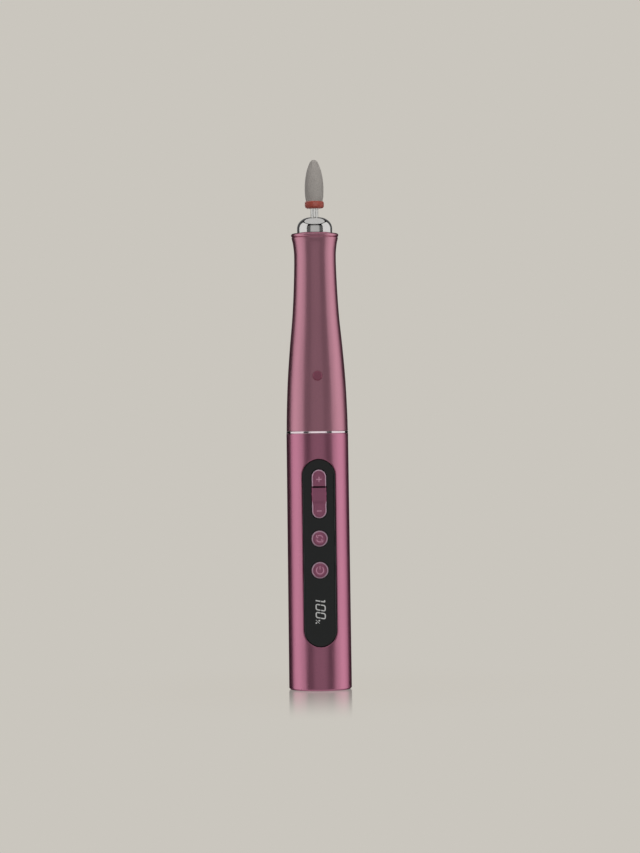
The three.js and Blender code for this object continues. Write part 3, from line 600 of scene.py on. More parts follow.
def rear_housing():
    """Rear shell: slight taper, chamfered tail, rounded joint edge and a bevelled slot."""
    slot_low = PANEL_LOW.z - PANEL_GAP
    slot_high = PANEL_HIGH.z + PANEL_GAP
    slot = Stadium(SLOT_HALF, slot_low, slot_high, between(slot_low, slot_high, 16), 22)
    top = REAR_HIGH.z

    def radius(z):
        return TAIL_R + (JOINT_R - TAIL_R) * z / top

    tail = rounded([
        (BORE_R, 0, 0), (TAIL_R - 0.46, 0, 0.12), (radius(0.5), 0.5, 0.16), (radius(6), 6, 0),
    ])
    rim = rounded([
        (radius(top - 4), top - 4, 0), (JOINT_R, top, 0.14), (BORE_R, top, 0),
    ])
    rows = plain(tail[1:])
    rows += [(radius(z), z, 0) for z in between(8, slot_low - SLOT_RIM - 0.6, 3)]
    rows += [(radius(z), z, x) for x, z in slot.side(SLOT_RIM)]
    rows += [(radius(slot_high + 0.8), slot_high + 0.8, 0)] + plain(rim) + [(BORE_R, slot_high + 2, 0)]
    rows += [(BORE_R, z, x) for x, z in reversed(slot.side())]
    rows += [(BORE_R, slot_low - 2, 0), (BORE_R, 0.3, 0), (BORE_R, 0, 0)]
    shell = Shell()
    open_shell(shell, rows)
    shell.grid([
        on_round(slot.loop(SLOT_RIM), radius),
        on_round(slot.loop(SLOT_RIM * 0.45), lambda z: radius(z) - SLOT_RIM * 0.22),
        on_round(slot.loop(SLOT_RIM * 0.08), lambda z: radius(z) - SLOT_RIM * 0.62),
        on_round(slot.loop(), lambda z: radius(z) - SLOT_RIM),
        on_round(slot.loop(), lambda z: BORE_R),
    ], around=True)
    return shell.build("rear_housing")


MOUTH_Z = FRONT_HIGH.z
FRONT_LINE = [
    (9.74, 82), (9.6, 88.5), (9.17, 98.2), (8.38, 108.4), (7.42, 118.5), (6.84, 128.7),
    (6.62, 137.3), (6.92, 141.1), (7.3, MOUTH_Z - 1.8), (7.36, MOUTH_Z - 1.4),
]
LIP_R = 0.6
LIP_CENTRE = (6.92, MOUTH_Z - LIP_R)
CREASE = (7.2, MOUTH_Z - 1.15)


def front_housing():
    """Front shell: swell, waist and flared collar with a bead round its mouth; a seat for the plug."""
    seat = disc(PLUG_SEAT_R, PLUG_Z, 12)
    hole = disc(SCREW_HOLE_R, PLUG_Z, 12)
    line = spline(FRONT_LINE, 96)

    def radius(z):
        k = next((i for i, point in enumerate(line) if point[1] > z), len(line) - 1)
        (r0, z0), (r1, z1) = line[k - 1], line[k]
        return r0 + (r1 - r0) * (z - z0) / (z1 - z0)

    edge = 0.08
    swell_low = [point for point in line if point[1] < PLUG_Z - PLUG_SEAT_R - 0.4]
    swell_high = [point for point in line if point[1] > PLUG_Z + PLUG_SEAT_R + 0.4]
    low = FRONT_LOW.z
    foot = rounded([(BORE_R, low, 0), (FRONT_LINE[0][0], low, 0.12), (*swell_low[3], 0)])
    rows = plain(foot[:-1] + swell_low[3:])
    rows += [(radius(z), z, x) for x, z in seat.side(edge)]
    rows += plain(swell_high + [CREASE] + arc(LIP_CENTRE, (LIP_R, LIP_R), -48, 90, 14))
    rows += plain(rounded([
        (6.4, MOUTH_Z, 0), (CARTRIDGE_BORE_R, MOUTH_Z, 0.3), (CARTRIDGE_BORE_R, CARTRIDGE_SEAT_Z, 0),
        (MOTOR_BORE_R, CARTRIDGE_SEAT_Z, 0),
    ]))
    rows += [(MOTOR_BORE_R, PLUG_Z + 3, 0)]
    rows += [(MOTOR_BORE_R, z, x) for x, z in reversed(hole.side())] + [(MOTOR_BORE_R, PLUG_Z - 3, 0)]
    rows += [(MOTOR_BORE_R, COUPLER_TOP_Z, 0), (BORE_R, COUPLER_TOP_Z, 0)]
    shell = Shell()
    open_shell(shell, rows)
    shell.grid([
        on_round(seat.loop(edge), radius),
        on_round(seat.loop(), lambda z: radius(z) - edge),
        [(x, PLUG_SEAT_Y, z) for x, z in seat.loop()],
        [(x, PLUG_SEAT_Y, z) for x, z in hole.loop()],
        on_round(hole.loop(), lambda z: MOTOR_BORE_R),
    ], around=True)
    return shell.build("front_housing")


def plug():
    """Small round plug whose slightly crowned face follows the shell."""
    low, high = box("set_screw_plug")
    face, back = low.y, high.y
    return turned_piece("plug", rounded([
        (0, back, 0), (1.4, back, 0.1), (1.5, face + 0.42, 0), (1.5, face + 0.2, 0.08),
        (1.3, face + 0.06, 0.15), (0, face + 0.02, 0),
    ]), 64, "Y", (0, 0, PLUG_Z))


def joint_band():
    """Polished ring between the two shells, with rounded edges."""
    low, high = RING_LOW.z, RING_HIGH.z
    return turned_piece("joint_band", rounded([
        (BORE_R, low, 0), (JOINT_R, low, 0.16), (JOINT_R, high, 0.16), (BORE_R, high, 0),
    ], closed=True), 192)


def nose_dome():
    """Chrome cap: straight wall, elliptical dome and a rounded hole for the shank."""
    crown_r, dome, hole_r, inner_r, foot_z = 1.6, 3.6, 1.5, 4.7, 140
    radius = NOSE_HIGH.x
    top = NOSE_HIGH.z
    wall = radius - 0.12
    profile = [(inner_r, foot_z), (wall, foot_z), (wall, MOUTH_Z - 0.3), (radius, MOUTH_Z + 0.05)]
    profile += arc((crown_r, top - dome), (radius - crown_r, dome), 0, 88, 26)
    profile += [(hole_r + 0.03, top - 0.02), (hole_r, top - 0.1)]
    profile += [(hole_r, 148.6), (4, 148.2), (inner_r, 147.2)]
    return turned_piece("nose_dome", profile, 160)


place(rear_housing(), "housing", "anodised_rear", "rear_shell")
place(front_housing(), "housing", "anodised_front", "front_shell")
place(plug(), "housing", "plug_pink", "set_screw_plug")
place(joint_band(), "housing", "chrome", "joint_ring", finish="ring_chrome")
place(nose_dome(), "housing", "chrome", "nose_cap")


# ---- Tail ----


def tail_disc():
    """Tail plate with a rounded edge and the socket's mouth."""
    low, high = TAIL_LOW.z, TAIL_HIGH.z
    outer_r = TAIL_HIGH.x
    half_x = SOCKET_HIGH.x + 0.1
    half_y = SOCKET_HIGH.y + 0.1
    count = 96

    def ring(radius, z):
        return [(radius * math.sin(t), radius * math.cos(t), z) for t in
                (2 * math.pi * k / count for k in range(count))]

    def mouth(grow, z):
        """Points of the round-ended mouth in the same directions as the ring's."""
        run, radius = half_x - half_y, half_y + grow
        points = []
        for x, y, _ in ring(1, 0):
            if abs(x) * radius <= run * abs(y):
                points.append((x / abs(y) * radius, math.copysign(radius, y), z))
            else:
                along = run * abs(x)
                length = along + math.sqrt(max(along * along - run * run + radius * radius, 0))
                points.append((x * length, y * length, z))
        return points

    shell = Shell()
    shell.grid([
        mouth(0.14, low), ring(6.4, low), ring(outer_r - 0.42, low), ring(outer_r - 0.18, low + 0.05),
        ring(outer_r - 0.04, low + 0.18), ring(outer_r, low + 0.4), ring(outer_r, high), mouth(0, high),
        mouth(0, low + 0.14), mouth(0.04, low + 0.04),
    ], around=True, closed=True)
    return shell.build("tail_disc")


def socket_shell():
    """Charging socket: a drawn oval tube with a rolled mouth, closed inside."""
    low, high = SOCKET_LOW.z, SOCKET_HIGH.z
    wall = 0.3
    outline = Stadium(SOCKET_HIGH.y, -SOCKET_HIGH.x, SOCKET_HIGH.x)

    def loop(grow, z):
        return [(across, along, z) for along, across in outline.loop(grow)]

    shell = Shell()
    shell.cap(loop(0, high))
    shell.grid([
        loop(0, high), loop(0, low + 0.12), loop(-0.04, low + 0.03), loop(-0.12, low),
        loop(-wall + 0.1, low), loop(-wall + 0.02, low + 0.04), loop(-wall, low + 0.12),
        loop(-wall, high - wall),
    ], around=True)
    shell.cap(loop(-wall, high - wall))
    return shell.build("socket_shell")


def socket_tongue():
    """Contact tongue with its stepped base."""
    shell = Shell()
    low, high = TONGUE_LOW, TONGUE_HIGH
    shell.block((-3.35, -0.35, low.z), (3.35, 0.35, high.z - 1.7), 0.08)
    shell.block((-3.2, low.y, high.z - 1.6), (3.2, high.y, high.z), 0.1)
    return shell.build("socket_tongue")


def socket_contacts():
    """Gold contact strips on both faces of the tongue."""
    count, pitch, half_width = 12, 0.5, 0.13
    bottom, top = TONGUE_LOW.z + 0.4, TONGUE_LOW.z + 3.4
    shell = Shell()
    for face in (-1, 1):
        near, far = sorted((face * 0.36, face * 0.4))
        for k in range(count):
            x = pitch * (k - (count - 1) / 2)
            shell.block((x - half_width, near, bottom), (x + half_width, far, top), 0.012)
    return shell.build("socket_contacts")


place(tail_disc(), "housing", "black_plastic", "tail_cap")
place(socket_shell(), "housing", "steel", "usb_socket_shell")
place(socket_tongue(), "housing", "black_plastic", "usb_socket_tongue")
place(socket_contacts(), "housing", "brass")


# ---- Control panel ----

PANEL_BEVEL = 0.14
HOLE_BEVEL = 0.1
PANEL_COLUMNS = 12


def crown(x, depth=0.0):
    """y of the panel's crowned face, or of the same curve at a depth below it."""
    radius = CROWN_R - depth
    return CROWN_Y - math.sqrt(radius * radius - x * x)


def control_panel():
    """Crowned window with bevelled edges and an opening for each key."""
    edge = Stadium(PANEL_HIGH.x, PANEL_LOW.z, PANEL_HIGH.z, (), 24)
    bottom, top = ROCKER_LOW.z - ROCKER_GAP, ROCKER_HIGH.z + ROCKER_GAP
    holes = [Stadium(ROCKER_HALF + ROCKER_GAP, bottom, top, (), 16)]
    holes += [disc(DIRECTION_R + BUTTON_GAP, DIRECTION_Z, 16), disc(POWER_R + BUTTON_GAP, POWER_Z, 16)]

    sides = edge.side(-PANEL_BEVEL) + [point for hole in holes for point in hole.side(HOLE_BEVEL)]
    levels = [z for _, z in sides] + between(PANEL_LOW.z + 6, PANEL_HIGH.z - 6, 24)
    heights = sorted({round(z, 5) for z in levels})
    shell = Shell()

    def walls(outline, sign, grows):
        """Bevel and wall round an outline, through (share of the bevel left, depth) steps."""
        side = []
        size = grows[0][0]
        for z in heights:
            if outline.spans(z, sign * size):
                half, normal = outline.reach(z, sign * size)
                side.append(((half, z), normal))
        loop = side + [((-x, z), (-nx, nz)) for (x, z), (nx, nz) in reversed(side[1:-1])]
        rows = []
        for grow, depth in grows:
            shift = sign * (grow - size)
            points = [(x + nx * shift, z + nz * shift) for (x, z), (nx, nz) in loop]
            rows.append([(x, crown(x, depth), z) for x, z in points])
        shell.grid(rows, around=True)

    walls(edge, -1, [
        (PANEL_BEVEL, 0), (PANEL_BEVEL * 0.45, 0.03), (0.02, 0.08), (0, PANEL_BEVEL), (0, PANEL_THICKNESS),
    ])
    for hole in holes:
        walls(hole, 1, [
            (HOLE_BEVEL, 0), (HOLE_BEVEL * 0.4, 0.03), (0, HOLE_BEVEL), (0, PANEL_THICKNESS),
        ])
    face, under = [], []
    for z in heights:
        outer, (nx, nz) = edge.reach(z, -PANEL_BEVEL)
        edge_x, edge_z = outer + nx * PANEL_BEVEL, z + nz * PANEL_BEVEL
        inner, hole_x, hole_z = 0, 0, z
        for hole in holes:
            if hole.spans(z, HOLE_BEVEL):
                inner, (nx, nz) = hole.reach(z, HOLE_BEVEL)
                hole_x, hole_z = inner - nx * HOLE_BEVEL, z - nz * HOLE_BEVEL
        face.append([(x, crown(x), z) for x in between(inner, outer, PANEL_COLUMNS)])
        under.append([
            (x, crown(x, PANEL_THICKNESS), hole_z + (edge_z - hole_z) * k / PANEL_COLUMNS)
            for k, x in enumerate(between(hole_x, edge_x, PANEL_COLUMNS))
        ])
    for side in (face, under):
        for mirror in (1, -1):
            shell.grid([[(mirror * x, y, z) for x, y, z in row] for row in side])
    return shell.build("window")


def rocker_brackets():
    """Two ears behind the window that hold the rocker's cross pin."""
    z = ROCKER_PIVOT.z
    inner = ROCKER_HALF + 0.25
    width, half_height, slot_half, bevel = 0.9, 1, 0.62, 0.06
    plate, ear = (-7.95, -7.65), (-7.6, -6.2)
    shell = Shell()
    for side in (-1, 1):
        low, high = sorted((side * inner, side * (inner + width)))
        shell.block((low, plate[0], z - half_height), (high, plate[1], z + half_height), bevel)
        shell.block((low, ear[0], z - half_height), (high, ear[1], z - slot_half), bevel)
        shell.block((low, ear[0], z + slot_half), (high, ear[1], z + half_height), bevel)
    return shell.build("rocker_brackets")


place(control_panel(), "housing", "black_gloss", "control_panel")
place(rocker_brackets(), "housing", "black_gloss")


# ---- Keys ----

PAD_Y = ROCKER_LOW.y
SADDLE_Y = PAD_Y + 0.4
GROOVE = (64.08, 64.62)
GROOVE_Y = -8.4
RAMP = (58.7, 60.3)
RIM_WIDTH = 0.4
SADDLE_RIM = 0.14
RIM_EDGE = 0.31
PAD_DISH = 0.1
ROCKER_BACK_Y = -7.7
ROCKER_FOOT_TIP_Y = -6.8
ROCKER_FOOT_Z = 4.9
KEY_FLANGE_Y = (-7.4, -6.95)
KEY_DISH = 0.16


def pad_share(z):
    """1 on the raised pads, 0 on the saddle between them."""
    return 1 if z > GROOVE[1] - 0.02 else 1 - ease((z - RAMP[0]) / (RAMP[1] - RAMP[0]))


def rocker_face(inset, z):
    """y of the rocker's face at a distance in from its outline."""
    if GROOVE[0] + 0.02 < z < GROOVE[1] - 0.02:
        return GROOVE_Y
    raised = pad_share(z)
    top = SADDLE_Y + (PAD_Y - SADDLE_Y) * raised
    width = SADDLE_RIM + (RIM_WIDTH - SADDLE_RIM) * raised
    drop = 0.1 + 0.22 * raised
    slope = drop * max(1 - inset / width, 0)
    dish = PAD_DISH * raised * ease((inset - width) / 0.38)
    return top + slope + dish


def speed_rocker():
    """Rocker: two rimmed pads, a saddle, a groove under the plus pad; pin and feet behind."""
    low, high = GROOVE
    levels = between(57, RAMP[0] - 0.3, 4) + between(RAMP[0], RAMP[1], 10)
    levels += between(RAMP[1] + 0.5, low - 0.1, 6) + [low, low + 0.03, high - 0.03, high, high + 0.1]
    levels += between(64.9, 67.4, 5)
    outline = Stadium(ROCKER_HALF, ROCKER_LOW.z, ROCKER_HIGH.z, levels, 18)
    insets = [0, 0.03, 0.08, 0.14, 0.2, 0.26, RIM_EDGE, 0.36, 0.4, 0.46, 0.52, 0.58, 0.64, 0.7, 0.78]
    insets += [0.9, 1.2, 1.6, 2, ROCKER_HALF]
    outer = outline.loop()
    back = [(x, ROCKER_BACK_Y, z) for x, z in outer]
    rows = [back]
    for inset in insets:
        inner = outline.loop(-inset)
        rows.append([(x, rocker_face(inset, z0), z) for (x, z), (_, z0) in zip(inner, outer)])
    shell = Shell()
    shell.grid(rows, around=True)
    shell.cap(back)
    _, y, z = ROCKER_PIVOT
    shell.block((-1.6, -7.95, z - 1), (1.6, y + 0.3, z + 1), 0.12)
    pin_r, pin_end = 0.5, ROCKER_HIGH.x
    shell.turned(rounded([
        (0, -pin_end, 0), (pin_r, -pin_end, 0.1), (pin_r, pin_end, 0.1), (0, pin_end, 0),
    ]), 32, "X", ROCKER_PIVOT)
    foot_r, foot_y = 0.8, -7.9
    foot = rounded([
        (0, foot_y, 0), (foot_r, foot_y, 0), (foot_r, ROCKER_FOOT_TIP_Y, 0.12), (0, ROCKER_FOOT_TIP_Y, 0),
    ])
    for end in (-1, 1):
        shell.turned(foot, 32, "Y", (0, 0, z + end * ROCKER_FOOT_Z))
    return shell.build("rocker", math.radians(40))


def on_rocker_rim_highlight(point):
    """The sloped edge of the pads, painted pale there as a painted highlight."""
    beyond = point.z - min(max(point.z, ROCKER_LOW.z + ROCKER_HALF), ROCKER_HIGH.z - ROCKER_HALF)
    inset = ROCKER_HALF - math.hypot(point.x, beyond)
    width = RIM_EDGE * pad_share(point.z)
    in_groove = GROOVE[0] < point.z < GROOVE[1]
    return point.y < SADDLE_Y + 0.02 and 0.005 < inset < width and not in_groove


def in_rocker_groove_shade(point):
    """The floor and walls of the groove under the plus pad, painted near-black as painted shade."""
    inside = abs(point.x) < ROCKER_HALF - RIM_WIDTH / 2
    return inside and GROOVE[0] < point.z < GROOVE[1] and point.y < GROOVE_Y + 0.02


def round_key(name, node, radius, z):
    """Round key: rounded outer rim, a ring and a shallow dish; flange and foot behind."""
    low, high = box(node)
    face, foot, foot_r = low.y, high.y, 0.9
    flange_r = radius + FLANGE_R
    front, back = KEY_FLANGE_Y
    return turned_piece(name, rounded([
        (0, foot, 0), (foot_r, foot, 0.1), (foot_r, back, 0.05), (flange_r, back, 0.06),
        (flange_r, front, 0.06), (radius, front, 0), (radius, face + 0.26, 0.06),
        (radius - 0.3, face, 0.1), (radius - 0.4, face, 0.05), (radius - 0.8, face + KEY_DISH, 0.1),
        (0, face + KEY_DISH, 0),
    ]), 96, "Y", (0, 0, z))


def subdivided(path, closed, step=0.2):
    """The same path with no two neighbours further apart than a step."""
    points = [Vector(point) for point in path]
    ends = points[1:] + (points[:1] if closed else [])
    dense = []
    for start, end in zip(points, ends):
        count = max(1, math.ceil((end - start).length / step))
        dense += [tuple(start.lerp(end, k / count)) for k in range(count)]
    return dense if closed else dense + [tuple(points[-1])]


RIBBON_SECTION = (
    (1, -0.003), (1, -0.012), (0.86, -0.02), (-0.86, -0.02), (-1, -0.012), (-1, -0.003),
)


def ribbon(shell, path, width, face, closed=False):
    """A thin raised stroke along a path in x and z, lying on a surface y = face(x, z)."""
    path = subdivided(path, closed)
    count = len(path)
    rows = []
    for i, (x, z) in enumerate(path):
        ahead = path[(i + 1) % count] if closed or i < count - 1 else path[i]
        behind = path[i - 1] if closed or i > 0 else path[i]
        before = (Vector((x, z)) - Vector(behind)).normalized()
        after = (Vector(ahead) - Vector((x, z))).normalized()
        along = (before + after).normalized()
        keep = before if before.length > 0 else after
        stretch = 1 / max(along.dot(keep), 0.5)
        out = Vector((-along.y, along.x)) * (width / 2 * stretch)
        across = [(x + out.x * share, z + out.y * share, depth) for share, depth in RIBBON_SECTION]
        rows.append([(edge_x, face(edge_x, edge_z) + depth, edge_z) for edge_x, edge_z, depth in across])
    shell.grid(rows, around=True, closed=closed)
    if not closed:
        shell.cap(rows[0])
        shell.cap(rows[-1])


MARK_WIDTH = 0.3
PLUS_Z = 66.75
MINUS_Z = 56.8


def rocker_marks():
    """Plus and minus on the rocker's pads."""
    def pad(x, z):
        return rocker_face(min(ROCKER_HALF - abs(x), 1.2), z)

    plus_half, minus_half = 0.85, 0.8
    shell = Shell()
    ribbon(shell, [(x, PLUS_Z) for x in between(-plus_half, plus_half, 6)], MARK_WIDTH, pad)
    for end in (-1, 1):
        reach = between(MARK_WIDTH / 2 + 0.01, plus_half, 3)
        ribbon(shell, [(0, PLUS_Z + end * s) for s in reach], MARK_WIDTH, pad)
    ribbon(shell, [(x, MINUS_Z) for x in between(-minus_half, minus_half, 6)], MARK_WIDTH, pad)
    return shell.build("rocker_marks")


def power_mark():
    """Open ring with a bar in its gap."""
    face = BUTTON_FACE_Y + KEY_DISH
    ring = arc((0, POWER_Z), (1.15, 1.15), 128, 412, 40)
    bar = [(0, z) for z in between(POWER_Z + 0.25, POWER_Z + 1.4, 5)]
    shell = Shell()
    for path in (ring, bar):
        ribbon(shell, path, MARK_WIDTH, lambda x, z: face)
    return shell.build("power_mark")


def direction_mark():
    """Two arrows chasing each other round a circle: forward and reverse."""
    face = box("direction_button")[0].y + KEY_DISH
    centre = Vector((0, DIRECTION_Z))
    shell = Shell()

    def at(radius, degrees):
        turn = math.radians(degrees)
        return tuple(centre + Vector((math.cos(turn), math.sin(turn))) * radius)

    for start in (15, 195):
        tip = start + 146
        bow = [at(1.02, start + 6 * k) for k in range(19)]
        wings = ([at(0.6, tip - 26), at(0.98, tip - 2)], [at(1.12, tip - 6), at(1.45, tip - 34)])
        for path in (bow, *wings):
            ribbon(shell, path, MARK_WIDTH, lambda x, z: face)
    return shell.build("direction_mark")


# Width of the pale ring painted round a key's face as a highlight.
KEY_RIM_HIGHLIGHT_WIDTH = 0.36


def on_key_rim_highlight(radius, z):
    """Test for the ring round a key's face, painted pale there as a painted highlight."""
    inner, depth = radius - KEY_RIM_HIGHLIGHT_WIDTH, BUTTON_FACE_Y + 0.3
    return lambda point: point.y < depth and math.hypot(point.x, point.z - z) > inner


def place_keys():
    rocker = speed_rocker()
    place(rocker, "rocker", "key_pink", "speed_rocker")
    # Painted highlight: pale paint on the pads' sloped edges.
    paint(rocker, "key_rim_highlight", on_rocker_rim_highlight)
    # Painted shade: near-black paint in the groove under the plus pad.
    paint(rocker, "key_groove_shade", in_rocker_groove_shade)
    for name, radius, z in (("direction", DIRECTION_R, DIRECTION_Z), ("power", POWER_R, POWER_Z)):
        key = round_key(f"{name}_key", f"{name}_button", radius, z)
        place(key, f"{name}_key", "key_pink", f"{name}_button")
        # Painted highlight: pale paint on the ring round the key's face.
        paint(key, "key_rim_highlight", on_key_rim_highlight(radius, z))


place_keys()
for mark, key in ((rocker_marks, "rocker"), (direction_mark, "direction_key"), (power_mark, "power_key")):
    place(mark(), key, "white_plastic", finish="key_marks")


# ---- Display ----

DIGIT_LOW_X = -1.57
DIGIT_HEIGHT = 3.22
DIGIT_STROKE = 0.36
DIGIT_SLANT = 0.18
DIGIT_ROUND = 0.5
SEGMENT_GAP = 0.11
ONE_Z = 29.15
NOUGHTS = ((27.64, 2.05), (25.11, 1.98))
SIGN_DOT_Z = 22.55
SIGN_SLASH_Z = 22.6


def display_digits():
    """A lit reading of one hundred per cent, running down the tool, in slanted segments."""
    shell = Shell()

    def put(strokes, start, width=DIGIT_STROKE):
        """Strokes as (across, up) points; across runs down the tool and up runs to the right."""
        for path in strokes:
            placed = [(DIGIT_LOW_X + up, start - across - DIGIT_SLANT * up) for across, up in path]
            ribbon(shell, placed, width, lambda x, z: crown(x))

    half = DIGIT_STROKE / 2
    low, high = half, DIGIT_HEIGHT - half
    middle = DIGIT_HEIGHT / 2

    def nought(width):
        left, right = half, width - half
        return [rounded([
            (left, middle + gap, 0), (left, end, DIGIT_ROUND), (right, end, DIGIT_ROUND),
            (right, middle + gap, 0),
        ]) for end, gap in ((high, SEGMENT_GAP), (low, -SEGMENT_GAP))]

    put([
        rounded([(0, high - 0.25, 0), (0.55, high, 0.2), (0.55, middle + SEGMENT_GAP, 0)]),
        [(0.55, middle - SEGMENT_GAP), (0.55, 0.05)],
    ], ONE_Z)
    for start, width in NOUGHTS:
        put(nought(width), start)
    for across, up in ((0.32, 1.12), (1.05, 0.2)):
        dot = arc((DIGIT_LOW_X + up, SIGN_DOT_Z - across), (0.15, 0.15), 0, 340, 17)
        ribbon(shell, dot, 0.2, lambda x, z: crown(x), closed=True)
    put([[(1.05, 1.2), (0.1, 0.05)]], SIGN_SLASH_Z, 0.16)
    return shell.build("display_digits")


place(display_digits(), "housing", "white_plastic", finish="lit_segments")


# ---- Grinding bit ----

FLUTES = 22
FLUTE_DEPTH = 0.07
FLUTE_TWIST = 0.42


def bit_shank():
    """Ground steel shank with a chamfered tail."""
    radius = SHANK_HIGH.x
    low, high = SHANK_LOW.z, SHANK_HIGH.z
    return turned_piece("shank", rounded([
        (0, low, 0), (radius - 0.22, low, 0.06), (radius, low + 0.35, 0.1), (radius, high, 0.05),
        (0, high, 0),
    ]), 64)


def bit_band():
    """Red band, barrelled, with a well rounded lower edge."""
    radius = BAND_HIGH.x
    low, high = BAND_LOW.z, BAND_HIGH.z
    return turned_piece("band", rounded([
        (0, low, 0), (radius - 0.05, low, 0.85), (radius, (low + high) / 2, 1.5),
        (radius - 0.04, high, 0.5), (0, high, 0),
    ]), 96)


def bit_head():
    """Ceramic flame with shallow helical cutting grooves that fade out at the tip."""
    line = spline([
        (2.65, HEAD_LOW.z), (2.9, 156.6), (2.99, 158.8), (2.9, 161), (2.6, 163.2),
        (2.14, 165.2), (1.5, 166.85), (1.2, 167.5), (0.72, 168.02), (0.3, 168.17),
    ], 84)
    steps = 176
    rows = [[(0, 0, HEAD_LOW.z)] * steps]
    for radius, z in line:
        row = []
        depth = FLUTE_DEPTH * ease((radius - 0.6) / 1.6) * ease((z - HEAD_LOW.z) / 0.5)
        for k in range(steps):
            angle = 2 * math.pi * k / steps
            wave = 0.5 - 0.5 * math.cos(FLUTES * (angle + FLUTE_TWIST * (z - HEAD_LOW.z) / 3))
            cut = radius - depth * wave
            row.append((cut * math.sin(angle), -cut * math.cos(angle), z))
        rows.append(row)
    rows.append([(0, 0, HEAD_HIGH.z)] * steps)
    shell = Shell()
    shell.grid(rows, around=True)
    return shell.build("head", math.radians(60))


place(bit_shank(), "bit", "steel", "bit_shank", finish="bit_steel")
place(bit_band(), "bit", "band_red", "bit_band")
place(bit_head(), "bit", "ceramic", "bit_head")


# ---- Studio ----

BACKDROP = (0.591, 0.565, 0.515)
ROOM_R = 3.0
ROOM_HEIGHT = 2.6
TABLE_Z = -0.00004
MIRROR_R = 0.11
WORLD_GREY = (0.1, 0.098, 0.095, 1)


def paper(name):
    """Evenly lit pale paper."""
    made = Finish(name, (0, 0, 0), 1, emission_color=(*BACKDROP, 1), emission_strength=1)
    made.shader.inputs["Specular IOR Level"].default_value = 0
    return made


def floor_paper():
    """The same paper, mirror-like close round the object's foot, and clear from below."""
    made = paper("table")
    mirror = made.node("ShaderNodeBsdfGlossy", [("Roughness", 0.12), ("Color", (0.98, 0.97, 0.96, 1))])
    distance = made.node("ShaderNodeVectorMath", [(0, made.place)], operation="LENGTH")
    fade = made.node("ShaderNodeMapRange", [
        ("Value", distance.outputs["Value"]), ("From Max", MIRROR_R), ("To Min", 0.62), ("To Max", 0.0),
    ], interpolation_type="SMOOTHSTEP")
    mix = made.node("ShaderNodeMixShader", [
        ("Fac", fade.outputs["Result"]), (1, made.shader.outputs["BSDF"]), (2, mirror.outputs["BSDF"]),
    ])
    clear = made.node("ShaderNodeBsdfTransparent")
    side = made.node("ShaderNodeNewGeometry")
    surface = made.node("ShaderNodeMixShader", [
        ("Fac", side.outputs["Backfacing"]), (1, mix.outputs["Shader"]), (2, clear.outputs["BSDF"]),
    ])
    made.links.new(surface.outputs["Shader"], made.nodes["Material Output"].inputs["Surface"])
    return made


def stage_piece(name, rows, finish):
    """A round stage surface from rows of points in metres."""
    shell = Shell()
    shell.grid([[tuple(c / MM for c in point) for point in row] for row in rows], around=True)
    piece = shell.build(name)
    piece.data.materials.append(finish.material)
    return piece


def studio():
    """Round pale room and a table, whose own glow lights nothing but the table, and a dim grey world."""
    def ring(radius, z, count=96):
        turns = (2 * math.pi * k / count for k in range(count))
        return [(radius * math.cos(t), radius * math.sin(t), z) for t in turns]

    room = stage_piece("room", [
        ring(ROOM_R - 0.4, -0.001), ring(ROOM_R - 0.1, 0.1), ring(ROOM_R, 0.4), ring(ROOM_R, ROOM_HEIGHT),
        ring(0.001, ROOM_HEIGHT),
    ], paper("backdrop"))
    rings = [ring(radius, TABLE_Z) for radius in (0.001, 0.2, 0.8, ROOM_R - 0.4)]
    table = stage_piece("table", rings, floor_paper())
    if table.data.polygons[0].normal.z < 0:
        table.data.flip_normals()
    papers = bpy.data.collections.new("papers")
    papers.objects.link(table)
    for piece in (room, table):
        piece.light_linking.receiver_collection = papers
    table.visible_glossy = False
    table.visible_shadow = False
    world = bpy.data.worlds.new("world")
    world.use_nodes = True
    world.node_tree.nodes["Background"].inputs["Color"].default_value = WORLD_GREY
    bpy.context.scene.world = world
    world.cycles_visibility.glossy = False
    bpy.context.scene.view_settings.view_transform = "Standard"


def soft_light(name, place_at, aim, size, radiance, only=(), off=("table",), shape="RECTANGLE"):
    """A light of even brightness, unseen by the camera, kept to some pieces or else kept off others."""
    data = bpy.data.lights.new(name, "AREA")
    data.shape = shape
    data.size, data.size_y = size
    area = size[0] * size[1] * (math.pi / 4 if shape == "ELLIPSE" else 1)
    data.energy = radiance * math.pi * area
    light = bpy.data.objects.new(name, data)
    light.location = place_at
    light.rotation_mode = "QUATERNION"
    light.rotation_quaternion = (Vector(aim) - Vector(place_at)).to_track_quat("-Z", "Y")
    light.visible_camera = False
    bpy.context.scene.collection.objects.link(light)
    group = bpy.data.collections.new(f"{name}_pieces")
    for piece in only or off:
        group.objects.link(bpy.data.objects[piece])
    for entry in group.collection_objects:
        entry.light_linking.link_state = "INCLUDE" if only else "EXCLUDE"
    light.light_linking.receiver_collection = group


BIT_PIECES = ("band", "head")
MARK_PIECES = ("rocker_marks", "direction_mark", "power_mark")
BRIGHT_PIECES = ("nose_dome", "joint_band", "shank")
SHELL_PIECES = ("rear_housing", "front_housing")
SWELL = ("front_housing",)
NOSE = ("nose_dome",)
BIT_AIM = (0, 0, 0.16)


def facing(name, y, height, size, radiance, only=(), off=("table",), x=0):
    """A soft light in front of the object or behind it, facing it squarely."""
    soft_light(name, (x, y, height), (x, 0, height), size, radiance, only, off)


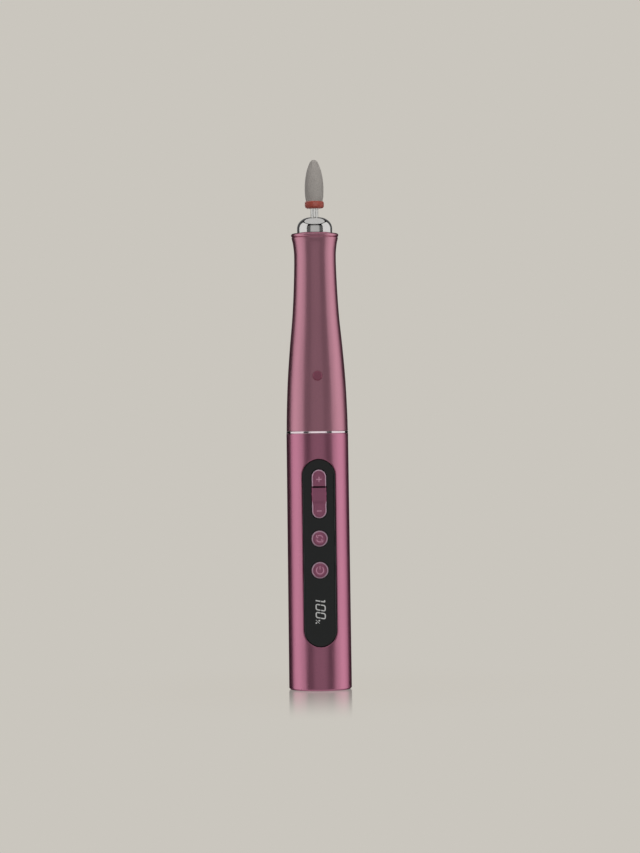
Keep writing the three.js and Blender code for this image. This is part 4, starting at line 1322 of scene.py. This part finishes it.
def side_lights(side, name, back, glow):
    """A tall panel beside the object, and more light on the shells and on the bright metal."""
    front = -0.87
    middle = (front + back) / 2
    aim = (0, middle, 0.1)
    size = (back - front, 2.5)
    soft_light(f"{name}_light", (side * 1.2, middle, 0.1), aim, size, 0.61)
    soft_light(f"{name}_bright", (side * 1.21, middle, 0.1), aim, size, 0.16, BRIGHT_PIECES)
    soft_light(f"{name}_glow", (side * 1.19, 0.067, 0.1), (0, 0.067, 0.1), (0.64, 2.4), glow, SHELL_PIECES)
    soft_light(f"{name}_fill", (side * 0.95, -1.13, 0.15), (0, 0, 0.15), (0.5, 2.4), 0.1, SWELL)


def lights():
    """Panels at different distances, because two lights in one plane would hide each other."""
    side_lights(-1, "left", 0.72, 0.15)
    side_lights(1, "right", 0.82, 0.19)
    facing("front_light", -1.5, 0.15, (1.5, 1.5), 0.18, off=("table", "window"))
    facing("window_light", -1.46, 0.2, (3.2, 1.6), 0.25, ("window",))
    facing("front_wash", -1.8, 0.15, (4.4, 2.4), 0.07)
    facing("body_wash", -1.81, 0.15, (4.4, 2.4), 0.042, ("rear_housing", "nose_dome"))
    facing("rear_wash", 1.9, 0.15, (5.0, 2.4), 0.008)
    soft_light("top_light", (0, 0, 1.3), (0, 0, 0), (2.05, 2.25), 0.6, shape="ELLIPSE")
    facing("shell_light", -1.43, 0.2, (2.4, 1.7), 0.04, SWELL)
    facing("chrome_light", -1.44, 0.25, (1.78, 2.0), 0.19, NOSE, x=0.03)
    facing("chrome_wash", 1.8, 0.15, (5.0, 4.0), 0.07, NOSE)
    facing("ring_light", -1.4, 0.2, (1.9, 1.5), 0.55, ("joint_band", "shank"))
    facing("rear_light", 1.5, 0.15, (1.1, 1.5), 0.2)
    soft_light("rear_bit_light", (-0.35, 1.46, 0.3), BIT_AIM, (1.5, 1.5), 1.3, BIT_PIECES)
    soft_light("under_light", (0, 0, -0.8), (0, 0, 0), (2.2, 2.2), 0.4)
    soft_light("bit_light", (0.35, -1.46, 0.3), BIT_AIM, (1.5, 1.5), 1.55, BIT_PIECES)
    soft_light("mark_light", (0, -1.42, 0.2), (0, 0, 0.05), (1.6, 1.5), 0.62, MARK_PIECES)
    for piece in BIT_PIECES:
        bpy.data.objects[piece].visible_glossy = False


studio()
lights()
